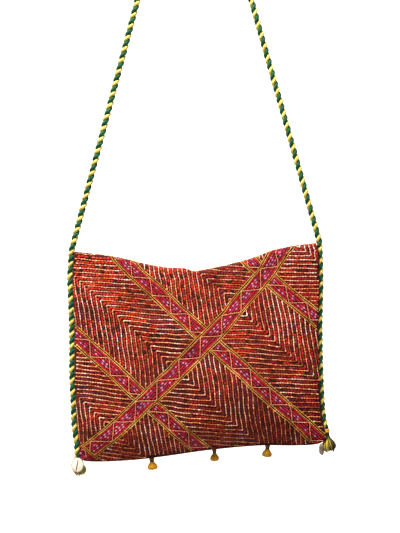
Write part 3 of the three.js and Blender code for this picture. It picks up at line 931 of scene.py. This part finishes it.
def rope_route():
    """Centre lines in mm: up the left side, over what it hangs from, down the right side."""
    left_down = np.linspace(LEFT_ROPE_END, 0.0, 60)
    left = place(rope_across(-1, left_down), 0.0, left_down) / MM
    right_down = np.linspace(0.0, RIGHT_ROPE_END, 60)
    right = place(rope_across(1, right_down), 0.0, right_down) / MM
    hook = np.array([0.0, ROPE_RADIUS - HOOK_BEND])
    corners = [place(rope_across(side, 0.0), 0.0, -STRAP_UPRIGHT) / MM for side in (-1, 1)]
    turns = []
    for side, corner in zip((-1, 1), corners):
        across, below = abs(corner[0] - hook[0]), hook[1] - corner[2]
        lean = math.atan2(across, below) - math.asin(HOOK_BEND / math.hypot(across, below))
        turns.append(side * (math.pi / 2 - lean))

    def on_hook(turn):
        return np.array([HOOK_BEND * math.sin(turn), 0.0, hook[1] + HOOK_BEND * math.cos(turn)])

    def leg(a, b, count):
        return [a + (b - a) * i / count for i in range(count)]

    strap = leg(corners[0], on_hook(turns[0]), 30)
    strap += [on_hook(t) for t in np.linspace(turns[0], turns[1], 16)]
    strap += leg(on_hook(turns[1]), corners[1], 30)[1:]
    strap += [corners[1]]
    return left, np.array(strap), right


def resample(points, step):
    """Even points along a line, and the run at each."""
    gaps = np.linalg.norm(np.diff(points, axis=0), axis=1)
    run = np.concatenate([[0], np.cumsum(gaps)])
    count = max(2, int(round(run[-1] / step)) + 1)
    even = np.linspace(0, run[-1], count)
    return np.stack([np.interp(even, run, points[:, k]) for k in range(3)], -1), even


def smooth_line(points, reach):
    """Round off the corners of an evenly spaced line."""
    out = points.copy()
    for _ in range(reach):
        out[1:-1] = 0.5 * out[1:-1] + 0.25 * (out[:-2] + out[2:])
    return out


def unit(vectors):
    return vectors / np.maximum(np.linalg.norm(vectors, axis=-1, keepdims=True), 1e-12)


def ply(points, run, twist_mm, phase, thickness, dye, lobes=5, sides=15):
    """One ply of the rope: a lobed tube wound right-handed round the rope's centre line."""
    along = unit(np.gradient(points, axis=0))
    front = np.broadcast_to(np.array([0.0, -1.0, 0.0]), points.shape)
    side = np.cross(along, front)
    turn = (2 * math.pi * run / twist_mm + phase)[:, None]
    radial = np.cos(turn) * front + np.sin(turn) * side
    centre = points + (YARN_RADIUS - thickness) * radial
    own = unit(np.gradient(centre, axis=0))
    radial = unit(radial - own * np.sum(radial * own, axis=1, keepdims=True))
    across = np.cross(own, radial)
    angle = 2 * math.pi * np.arange(sides) / sides
    # The ply's own yarns wind the other way.
    wind = angle[None, :] + (2 * math.pi * run / (twist_mm * 0.9))[:, None]
    reach = thickness * (1 + 0.075 * np.cos(lobes * wind)) * MM
    verts = centre[:, None, :] * MM + reach[..., None] * (
        np.cos(angle)[None, :, None] * radial[:, None, :]
        + np.sin(angle)[None, :, None] * across[:, None, :])
    rings = len(points)
    index = np.arange(rings * sides).reshape(rings, sides)
    faces = [grid_faces(index), index[:1, ::-1], index[-1:]]
    yarn_run = np.stack(np.broadcast_arrays(run[:, None], lobes * wind / (2 * math.pi) % 1.0), -1)
    return Form(verts, faces, np.broadcast_to(np.array(dye), (rings * sides, 4)), yarn_run)


def build_ropes(settings):
    """The sewn side ropes and the free strap, cut where the CAD cuts them."""
    left, strap, right = rope_route()
    route = np.concatenate([left, strap, right])
    points, run = resample(route, 1.1)
    points = smooth_line(points, 10)
    length_left = np.linalg.norm(np.diff(left, axis=0), axis=1).sum()
    length_right = np.linalg.norm(np.diff(right, axis=0), axis=1).sum()
    first, last = length_left, run[-1] - length_right
    twist = settings.rope_twist / MM
    # Coarser yarn than the embroidery's: the twist shows as slanting ribs on each ply.
    yarn = yarn_material("Cotton_rope_yarn_twisted", 2.2)
    made = {}
    for name, low, high in (("side_rope_left", -1, first), ("strap_rope", first - 1.1, last),
                            ("side_rope_right", last - 1.1, run[-1] + 1)):
        part = (run >= low) & (run <= high)
        plies = [
            ply(points[part], run[part], twist, 0.0, GREEN_PLY, settings.rope_green),
            ply(points[part], run[part], twist, math.pi, YELLOW_PLY, settings.rope_yellow),
        ]
        made[name] = make_object(name + "_yarn", joined(plies), yarn)
        made[name + "_line"] = points[part] * MM
    return made


# Bobbles, tassels.

def profile_at(rows, share):
    """A tuft's radius at a share of its length."""
    return through(np.array(rows), 1, share)


def strand_frame(top, end):
    """Directions along a tuft, to its side and forward."""
    axis = (end - top) / np.linalg.norm(end - top)
    side = np.cross([0.0, 1.0, 0.0], axis)
    side /= np.linalg.norm(side)
    return axis, side, np.cross(axis, side)


def strands(top, end, rows, count, half_width, draws, dyes, rings=14, twist=0.0, fray=0.0, locks=0,
            sink=1.0, wave=0.0):
    """Yarn strands from top to end, laid on a turned profile, in locks where they part."""
    axis, side, forward = strand_frame(top, end)
    length = np.linalg.norm(end - top)
    angle = 2 * math.pi * (np.arange(count) + draws.uniform(-0.3, 0.3, count)) / count
    reach = 1 + draws.normal(0, fray, count).clip(-0.12, 0.12)
    part = np.linspace(0, 1, rings)[None, :] * reach[:, None]
    depth = sink * (1 - draws.uniform(0, 0.16, count))
    radius = (profile_at(rows, np.clip(part, 0, 1)) - half_width) * depth[:, None]
    turn = angle[:, None] + twist * part
    if locks:
        lock = 2 * math.pi * np.round(turn * locks / (2 * math.pi)) / locks
        turn = turn + (lock - turn) * 0.42 * np.clip((part - 0.25) / 0.6, 0, 1)
    bend = wave * np.sin(part * 7 + draws.uniform(0, 6.28, (count, 1)))
    turn = turn + bend
    centre = (top + axis * (part * length)[..., None]
              + side * (radius * np.cos(turn))[..., None] + forward * (radius * np.sin(turn))[..., None])
    outward = side * np.cos(turn)[..., None] + forward * np.sin(turn)[..., None]
    width = np.full(part.shape, half_width)
    width[:, -1] *= 0.6
    return sweep(centre * MM, outward, width * MM, width * MM, 5, dyes)


def windings(top, end, radius, turns, half_width, dye, rings_per_turn=14):
    """Thread wound round a stem in a close helix, as one strand."""
    axis, side, forward = strand_frame(top, end)
    part = np.linspace(0, 1, turns * rings_per_turn + 1)
    turn = 2 * math.pi * turns * part
    outward = side * np.cos(turn)[:, None] + forward * np.sin(turn)[:, None]
    centre = top + (end - top) * part[:, None] + outward * (radius - half_width * 0.4)
    width = np.full((1, len(part)), half_width * MM)
    return sweep(centre[None] * MM, outward[None], width, width, 6, np.array([dye]))


def core(top, end, rows, shrink, dye, rings=18, sides=20):
    """The solid inside a tuft, so that nothing shows through it."""
    axis, side, forward = strand_frame(top, end)
    part = np.linspace(0, 1, rings)
    radius = profile_at(rows, part) * shrink
    centre = (top + (end - top) * part[:, None])[None]
    outward = np.broadcast_to(side, centre.shape)
    return sweep(centre * MM, outward, radius[None] * MM, radius[None] * MM, sides, np.array([dye]))


BOBBLE_WIDTH, BOBBLE_STEM, BOBBLE_LENGTH = 12.6, 5.0, 13.8
BOBBLE_ROWS = [
    (0, BOBBLE_STEM * 0.62), (0.12, BOBBLE_STEM * 0.5), (0.3, BOBBLE_STEM * 0.5),
    (0.42, BOBBLE_WIDTH * 0.28), (0.58, BOBBLE_WIDTH * 0.43), (0.78, BOBBLE_WIDTH * 0.5),
    (0.91, BOBBLE_WIDTH * 0.44), (0.98, BOBBLE_WIDTH * 0.27), (1, BOBBLE_WIDTH * 0.1),
]
# Place along the hem, size, lean of the free end and how light its yellow is drawn.
BOBBLES = (
    ("bobble_left", -0.425, 1.0, 1.4, 1.0), ("bobble_middle", 0.087, 0.86, 0.4, 0.74),
    ("bobble_right", 0.522, 0.97, -1.2, 0.66),
)


def build_bobbles(settings):
    """Yellow yarn balls on dark bound stems, along the flap's hem."""
    # Floss combed out and bound: soft, hardly twisted, so its relief is low.
    yarn = yarn_material("Cotton_floss_combed", 3.0, depth=0.35)
    made = {}
    stem = srgb("#6A3A14")
    for k, (name, share, size, lean, light) in enumerate(BOBBLES):
        draws = np.random.RandomState(30 + k)
        base = np.array(settings.bobble_dye) * light
        down = hem(share) + PIECE_GAP
        depth = cover_depth(-1, share, 1) - CLOTH / 2
        top = place(across_at(share, down, FLAP_OVER_ROPE), depth, down) / MM
        end = top + np.array([lean, 0, -BOBBLE_LENGTH])
        rows = [(at, radius * size) for at, radius in BOBBLE_ROWS]
        shades = draws.uniform(0.66, 1.14, (110, 1)) * base
        shades[:, 3] = 1
        bound = srgb("#7A4A16")
        parts = [
            # Painted shade: the core is drawn a fifth darker than the strands, for the shade between them.
            core(top, end, rows, 0.9, base * 0.8),
            strands(top, end, rows, 64, 0.42, draws, shades[:64], twist=0.25, locks=5 if k == 2 else 0),
            strands(top, end, rows, 36, 0.3, draws, shades[64:100], twist=-0.2, sink=1.04),
            windings(top, top + (end - top) * 0.3, BOBBLE_STEM / 2 * size, 9, 0.34, stem),
            windings(top, top + (end - top) * 0.1, BOBBLE_STEM * 0.6 * size, 3, 0.34, bound),
        ]
        made[name] = make_object(name + "_yarn", joined(parts), yarn)
    return made


TASSEL_WRAP = 7.0
TASSEL_ROWS = [
    (0, TASSEL_WRAP * 0.46), (0.14, TASSEL_WRAP * 0.48), (0.26, TASSEL_WRAP * 0.36),
    (0.42, TASSEL_WRAP * 0.46), (0.66, TASSEL_WRAP * 1.02), (0.86, TASSEL_WRAP * 1.14),
    (1, TASSEL_WRAP * 0.86),
]
# Top beside the rope's end (across, depth, down), then the way to the free end, slimness.
TASSELS = (
    ("tassel_left", -1, (-0.8, 3.6, 1.4), (3.8, 6.0, -20.4), 1.05),
    ("tassel_right", 1, (0.4, 0.0, 1.1), (5.0, 0.0, -25.5), 1.08),
)
# A loose thread beside the right tassel: shares of its width, depth and length.
STRAY_THREAD = ((0.3, 0.0, -0.74), (0.6, -0.02, -0.745), (1.0, -0.04, -0.735), (1.4, 0, -0.73))
STRAY_REACH = (10.0, 10.0, 25.5)
LOCK_DYES = (
    ("#8E9438", "#A29A48", "#6A7428", "#9C8444", "#7E8A34", "#8C7438", "#B0A85A"),
    ("#9A9028", "#3A281C", "#6A5A38", "#B49C3C", "#2A1E18", "#4E6024", "#7A6448"),
)


def build_tassels(settings):
    """The ropes' ends, bound and opened into their yarns."""
    # The rope's yarns opened by wear: duller than the rope, each yarn apart from the next.
    yarn = yarn_material("Cotton_yarn_frayed", 2.6, roughness=0.85)
    made = {}
    locks, kinds = 10, 7
    for k, (name, side, seat, way, slim) in enumerate(TASSELS):
        draws = np.random.RandomState(50 + k)
        rope_end = LEFT_ROPE_END if side < 0 else RIGHT_ROPE_END
        top = place(rope_across(side, rope_end) + seat[0], seat[1], rope_end + seat[2]) / MM
        end = top + np.array(way)
        rows = [(at, radius * slim) for at, radius in TASSEL_ROWS]
        # Painted shade: the core inside the strands is near black, for the shade deep among the yarns.
        parts = [core(top, end, rows, 0.6, srgb("#18140C"))]
        for number, sink in ((70, 1.0), (54, 0.84), (38, 0.64)):
            lock = np.round(np.arange(number) * locks / number).astype(int) * 3 % kinds
            stray = draws.rand(number) < 0.3
            lock[stray] = draws.randint(0, kinds, stray.sum())
            dyes = np.array([srgb(LOCK_DYES[k][i]) for i in lock])
            dyes = uneven(dyes, draws, 0.22)
            parts.append(strands(top, end, rows, number, 0.42, draws, dyes,
                                 twist=0.3, fray=0.05, locks=locks, sink=sink, wave=0.05))
        if side > 0:
            neck_dyes = uneven(np.array([srgb("#1E3A1E")] * 26), draws, 0.2)
            neck_rows = [(0, 3.6), (0.5, 3.3), (1, 5.4)]
            neck_top, neck_end = top + (end - top) * 0.16, top + (end - top) * 0.55
            parts.append(strands(neck_top, neck_end, neck_rows, 26, 0.45, draws, neck_dyes,
                                 twist=0.4, fray=0.12))
            thread = top + np.array([STRAY_THREAD]) * np.array(STRAY_REACH)
            thin = np.full((1, 4), 0.25 * MM)
            grey = np.array([srgb("#7A7468")])
            parts.append(sweep(thread * MM, np.array([[[0.0, -1.0, 0.0]] * 4]), thin, thin, 5, grey))
        head = settings.bobble_dye if side > 0 else srgb("#6A6420")
        head_top, head_end = top + (end - top) * 0.02, top + (end - top) * 0.15
        parts.append(windings(head_top, head_end, TASSEL_WRAP * 0.52 * slim, 5, 0.4, head))
        made[name] = make_object(name + "_yarn", joined(parts), yarn)
    return made


# Shells.

def shell_material():
    """Cowrie shell, polished by the animal's own mantle and then by wear: off-white with cream
    clouds, and a clear gloss that gives small sharp highlights."""
    material, tree, shader = new_material("Cowrie_shell_polished")
    dye = add_node(tree, "ShaderNodeAttribute", {"attribute_name": "Dye"})
    spot = add_node(tree, "ShaderNodeTexCoord")
    cloud = add_node(tree, "ShaderNodeTexNoise", inputs={"Scale": 260.0, "Detail": 4.0},
                     links={"Vector": spot.outputs["Object"]})
    shade = add_node(tree, "ShaderNodeMapRange", inputs={1: 0.3, 2: 0.7, 3: 0.86, 4: 1.04},
                     links={0: cloud.outputs[0]})
    colour = add_node(tree, "ShaderNodeVectorMath", {"operation": "SCALE"},
                      links={0: dye.outputs["Color"], "Scale": shade.outputs[0]})
    tree.links.new(colour.outputs[0], shader.inputs["Base Color"])
    rough = add_node(tree, "ShaderNodeMapRange", inputs={1: 0.3, 2: 0.7, 3: 0.2, 4: 0.38},
                     links={0: cloud.outputs[0]})
    tree.links.new(rough.outputs[0], shader.inputs["Roughness"])
    bump = add_node(tree, "ShaderNodeBump", inputs={"Strength": 0.15, "Distance": 0.0002},
                    links={"Height": cloud.outputs[0]})
    tree.links.new(bump.outputs[0], shader.inputs["Normal"])
    shader.inputs["Coat Weight"].default_value = 0.3
    shader.inputs["Coat Roughness"].default_value = 0.12
    return material


LEFT_SHELL, RIGHT_SHELL = (18.0, 15.0, 9.0), (14.5, 11.0, 7.0)


def shell_form(size, centre, turn, lean, tone_shift, around=96, stations=56):
    """A cowrie: domed back, flat belly, a curved slit with teeth on both lips."""
    length, width, depth = size
    along = -np.cos(np.pi * (np.arange(stations) + 0.5) / stations)[:, None]
    girth = np.sqrt(1 - along * along)
    angle = 2 * math.pi * np.arange(around)[None, :] / around
    x = width / 2 * girth ** 0.85 * np.sin(angle)
    cos = np.cos(angle) * np.ones_like(along)
    z = length / 2 * along * np.ones_like(angle)
    back = depth * 0.68 * girth * np.abs(cos)
    belly = -depth * 0.32 * girth * np.abs(cos) ** 0.7
    slit = x - 0.5 * np.sin(along * 2.2)
    teeth = 0.5 + 0.5 * np.cos(z * 2 * math.pi / (length / 13))
    lip = np.exp(-((np.abs(slit) - 1.3) / 0.9) ** 2)
    groove = girth ** 0.5 * (2.1 * np.exp(-(slit / (0.55 + 0.35 * teeth)) ** 2) - 0.35 * lip * teeth)
    y = np.where(cos > 0, back, belly + groove)
    edge = np.abs(x) / (width / 2)
    # Partly the shell's own brown rim, partly painted shade darkening it towards the outline.
    brown_rim_and_edge_shade = np.clip((np.hypot(edge, z / (length / 2)) - 0.82) / 0.14, 0, 1)
    # Painted shade: the slit on the belly is drawn deep brown for the hollow inside the shell.
    dark = np.where(cos > 0, 0, np.exp(-(slit / 0.62) ** 2)) * np.clip((0.8 - np.abs(along)) / 0.2, 0, 1)
    white, brown, slit_shade = np.array(srgb("#EEE4D4")), np.array(srgb("#604C3A")), np.array(srgb("#3A1E14"))
    dye = white + (brown - white) * np.clip(tone_shift + 0.85 * brown_rim_and_edge_shade, 0, 1)[..., None]
    dye = dye + (slit_shade - dye) * (0.9 * dark)[..., None]
    cl, sl, ct, st = math.cos(lean), math.sin(lean), math.cos(turn), math.sin(turn)
    x, z = x * cl + z * sl, z * cl - x * sl
    x, y = x * ct - y * st, x * st + y * ct
    verts = (np.stack([x, y, z], -1) + centre) * MM
    index = np.arange(stations * around).reshape(stations, around)
    faces = [grid_faces(index)[:, ::-1], index[:1], index[-1:, ::-1]]
    return Form(verts, faces, dye, np.stack([x, z], -1))


def build_shells():
    """A cowrie at each lower corner, belly out on the left, edge on at the right."""
    glaze = shell_material()
    left_rope = rope_across(-1, LEFT_ROPE_END)
    right_rope = rope_across(1, RIGHT_ROPE_END)
    left = place(left_rope, -4.2, LEFT_ROPE_END + LEFT_SHELL[0] / 2 + 1) / MM
    right = place(right_rope - 4.8, -3.4, hem(0.94) + RIGHT_SHELL[0] / 2) / MM
    made = {}
    for name, size, centre, turn, lean, tone_shift in (
            ("cowrie_left", LEFT_SHELL, left, 0.0, math.radians(5), 0.02),
            ("cowrie_right", RIGHT_SHELL, right, math.radians(78), 0.0, 0.8)):
        made[name] = make_object(name + "_shell", shell_form(size, centre, turn, lean, tone_shift), glaze)
    return made


# Stage.

# The camera looks level at the flap, as in the photo; metres.
VIEW_CENTRE = (0.0082, -0.4951)
VIEW_HEIGHT = 0.6396
VIEW_DISTANCE = 1.9


def build_camera():
    """A level camera in front of the flap."""
    data = bpy.data.cameras.new("Camera")
    data.sensor_fit = "VERTICAL"
    data.sensor_height = 36.0
    data.lens = 36.0 * VIEW_DISTANCE / VIEW_HEIGHT
    camera = bpy.data.objects.new("Camera", data)
    camera.location = (VIEW_CENTRE[0], -VIEW_DISTANCE, VIEW_CENTRE[1])
    camera.rotation_euler = (math.radians(90), 0, 0)
    bpy.context.scene.collection.objects.link(camera)
    bpy.context.scene.camera = camera


def soft_light(name, stand, aim, size, energy, tint):
    """A square soft box aimed at a point."""
    data = bpy.data.lights.new(name, "AREA")
    data.size = size
    data.energy = energy
    data.color = srgb(tint)[:3]
    lamp = bpy.data.objects.new(name, data)
    lamp.location = stand
    lamp.rotation_euler = (Vector(aim) - Vector(stand)).to_track_quat("-Z", "Y").to_euler()
    bpy.context.scene.collection.objects.link(lamp)


def build_backdrop():
    """A pale floor that sweeps up into the wall behind."""
    across = np.linspace(-9, 9, 2)
    bend = np.linspace(0, math.pi / 2, 24)
    line = [(-9.0, 0.0)] + [(3.1 + 1.4 * math.sin(t), 1.4 - 1.4 * math.cos(t)) for t in bend] + [(4.5, 7.0)]
    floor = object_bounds()[0][2] - 0.6
    verts = np.array([[(x, y, floor + z) for x in across] for y, z in line])
    faces = [grid_faces(np.arange(len(line) * 2).reshape(-1, 2), closed=False)]
    # Seamless paper: matte and almost even, so that nothing on it draws the eye.
    material, tree, shader = new_material("Paper_backdrop_matte_glowing")
    spot = add_node(tree, "ShaderNodeTexCoord")
    grain = add_node(tree, "ShaderNodeTexNoise", inputs={"Scale": 3.0, "Detail": 2.0},
                     links={"Vector": spot.outputs["Object"]})
    tone = add_node(tree, "ShaderNodeMix", {"data_type": "RGBA"}, links={"Factor": grain.outputs[0]})
    tone.inputs[6].default_value = srgb("#F0EEEA")
    tone.inputs[7].default_value = srgb("#F4F2F0")
    tree.links.new(tone.outputs[2], shader.inputs["Base Color"])
    # Painted light: the wall behind glows by its own emission, so that it looks lit from below, as a
    # studio's white wall is.
    axes = add_node(tree, "ShaderNodeSeparateXYZ", links={0: spot.outputs["Object"]})
    glow = add_node(tree, "ShaderNodeMapRange", inputs={1: 2.4, 2: 3.9, 3: 0.0, 4: 0.95},
                    links={0: axes.outputs[1]})
    tree.links.new(glow.outputs[0], shader.inputs["Emission Strength"])
    shader.inputs["Emission Color"].default_value = srgb("#FFFEFC")
    shader.inputs["Roughness"].default_value = 0.95
    backdrop = make_object("Backdrop", Form(verts, faces), material)
    backdrop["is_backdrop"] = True


def build_stage():
    """Camera, backdrop, one soft key from above on the left and a weak fill."""
    build_camera()
    build_backdrop()
    soft_light("Key", (-0.46, -0.64, 1.12), (0, 0, -0.6), 0.5, 119, "#FFF6EC")
    soft_light("Fill", (1.4, -1.6, 0.1), (0, 0, -0.6), 1.4, 5, "#F2F6FF")
    world = bpy.data.worlds.new("Studio")
    world.use_nodes = True
    world.node_tree.nodes["Background"].inputs[0].default_value = srgb("#FFFFFF")
    world.node_tree.nodes["Background"].inputs[1].default_value = 0.15
    bpy.context.scene.world = world
    bpy.context.scene.view_settings.view_transform = "Standard"


# Add-on.

class FlapBagSettings(bpy.types.PropertyGroup):
    """Sizes and dyes that a user would change"""
    row_spacing: bpy.props.FloatProperty(
        name="Row spacing", description="From one pale row of the embroidery to the next", default=0.00545,
        min=0.004, max=0.012, unit="LENGTH")
    rope_twist: bpy.props.FloatProperty(
        name="Rope twist", description="Length of one turn of the rope's two plies", default=0.014,
        min=0.009, max=0.03, unit="LENGTH")
    ground_dye: bpy.props.FloatVectorProperty(
        name="Ground", description="Dye of the cloth under the embroidery", subtype="COLOR", size=4,
        default=srgb("#4C120C"), min=0, max=1)
    pocket_dye: bpy.props.FloatVectorProperty(
        name="Pocket", description="Dye of the plain cloth of the pocket", subtype="COLOR", size=4,
        default=srgb("#7A2A1E"), min=0, max=1)
    pale_dye: bpy.props.FloatVectorProperty(
        name="Pale rows", description="Middle shade of the pale rows", subtype="COLOR", size=4,
        default=srgb(PALE_DYES[2]), min=0, max=1)
    red_dye: bpy.props.FloatVectorProperty(
        name="Red rows", description="Middle shade of the red rows", subtype="COLOR", size=4,
        default=srgb(RED_DYES[2]), min=0, max=1)
    gold_dye: bpy.props.FloatVectorProperty(
        name="Gold edges", description="Middle shade of the rows along the bands", subtype="COLOR", size=4,
        default=srgb(GOLD_DYES[1]), min=0, max=1)
    zigzag_dye: bpy.props.FloatVectorProperty(
        name="Zigzag", description="Middle shade of the zigzag in the bands", subtype="COLOR", size=4,
        default=srgb(ZIGZAG_DYES[1]), min=0, max=1)
    band_dye: bpy.props.FloatVectorProperty(
        name="Bands", description="Middle shade of the bands' filling", subtype="COLOR", size=4,
        default=srgb(BAND_DYES[1]), min=0, max=1)
    rope_green: bpy.props.FloatVectorProperty(
        name="Rope green", description="Dye of the rope's thicker ply", subtype="COLOR", size=4,
        default=srgb("#14502E"), min=0, max=1)
    rope_yellow: bpy.props.FloatVectorProperty(
        name="Rope yellow", description="Dye of the rope's thinner ply", subtype="COLOR", size=4,
        default=srgb("#D8C262"), min=0, max=1)
    bobble_dye: bpy.props.FloatVectorProperty(
        name="Bobble yellow", description="Dye of the bobbles along the hem", subtype="COLOR", size=4,
        default=srgb("#D89C1C"), min=0, max=1)


class FLAPBAG_OT_cloth(bpy.types.Operator):
    """Make the embroidered cloth that is the flap, the fold and the back, with its stitches"""
    bl_idname = "flapbag.cloth"
    bl_label = "Embroidered cloth"

    def execute(self, context):
        cloth = build_cloth(context.scene.flap_bag)
        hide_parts("flap_and_back")
        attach(cloth, "root")
        pieces = build_embroidery(context.scene.flap_bag)
        for piece in pieces:
            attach(piece, "root")
        return {"FINISHED"}


class FLAPBAG_OT_pouch(bpy.types.Operator):
    """Make the plain pouch inside the embroidered cloth"""
    bl_idname = "flapbag.pouch"
    bl_label = "Pouch"

    def execute(self, context):
        pouch = build_pouch(context.scene.flap_bag)
        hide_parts("pouch")
        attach(pouch, "root")
        return {"FINISHED"}


class FLAPBAG_OT_rope(bpy.types.Operator):
    """Make the two-ply rope: sewn down both sides, and free as the strap"""
    bl_idname = "flapbag.rope"
    bl_label = "Rope"

    def execute(self, context):
        made = build_ropes(context.scene.flap_bag)
        for node in ("side_rope_left", "side_rope_right", "strap_rope"):
            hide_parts(node)
            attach(made[node], "root")
        return {"FINISHED"}


class FLAPBAG_OT_bobbles(bpy.types.Operator):
    """Make the three yarn bobbles on the flap's hem"""
    bl_idname = "flapbag.bobbles"
    bl_label = "Bobbles"

    def execute(self, context):
        for node, piece in build_bobbles(context.scene.flap_bag).items():
            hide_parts(node)
            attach(piece, "root")
        return {"FINISHED"}


class FLAPBAG_OT_tassels(bpy.types.Operator):
    """Make the tassels at the ends of the side ropes"""
    bl_idname = "flapbag.tassels"
    bl_label = "Tassels"

    def execute(self, context):
        for node, piece in build_tassels(context.scene.flap_bag).items():
            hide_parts(node)
            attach(piece, "root")
        return {"FINISHED"}


class FLAPBAG_OT_shells(bpy.types.Operator):
    """Make the cowrie shells at the lower corners"""
    bl_idname = "flapbag.shells"
    bl_label = "Cowrie shells"

    def execute(self, context):
        for node, piece in build_shells().items():
            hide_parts(node)
            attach(piece, "root")
        return {"FINISHED"}


class FLAPBAG_OT_stage(bpy.types.Operator):
    """Set the camera, the pale backdrop and the soft lights"""
    bl_idname = "flapbag.stage"
    bl_label = "Stage"

    def execute(self, context):
        build_stage()
        return {"FINISHED"}


OPERATORS = (FLAPBAG_OT_pouch, FLAPBAG_OT_cloth, FLAPBAG_OT_rope, FLAPBAG_OT_bobbles, FLAPBAG_OT_tassels,
             FLAPBAG_OT_shells, FLAPBAG_OT_stage)


class FLAPBAG_PT_panel(bpy.types.Panel):
    """The bag's settings, and one button for each of its pieces"""
    bl_label = "Flap bag"
    bl_space_type = "VIEW_3D"
    bl_region_type = "UI"
    bl_category = "Flap bag"

    def draw(self, context):
        for key in FlapBagSettings.__annotations__:
            self.layout.prop(context.scene.flap_bag, key)
        for operator in OPERATORS:
            self.layout.operator(operator.bl_idname)


def register():
    for cls in (FlapBagSettings, *OPERATORS, FLAPBAG_PT_panel):
        bpy.utils.register_class(cls)
    bpy.types.Scene.flap_bag = bpy.props.PointerProperty(type=FlapBagSettings)


def unregister():
    del bpy.types.Scene.flap_bag
    for cls in reversed((FlapBagSettings, *OPERATORS, FLAPBAG_PT_panel)):
        bpy.utils.unregister_class(cls)


def main():
    register()
    bpy.ops.flapbag.pouch()
    bpy.ops.flapbag.cloth()
    bpy.ops.flapbag.rope()
    bpy.ops.flapbag.bobbles()
    bpy.ops.flapbag.tassels()
    bpy.ops.flapbag.shells()
    bpy.ops.flapbag.stage()
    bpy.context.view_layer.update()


if __name__ == "__main__":
    main()
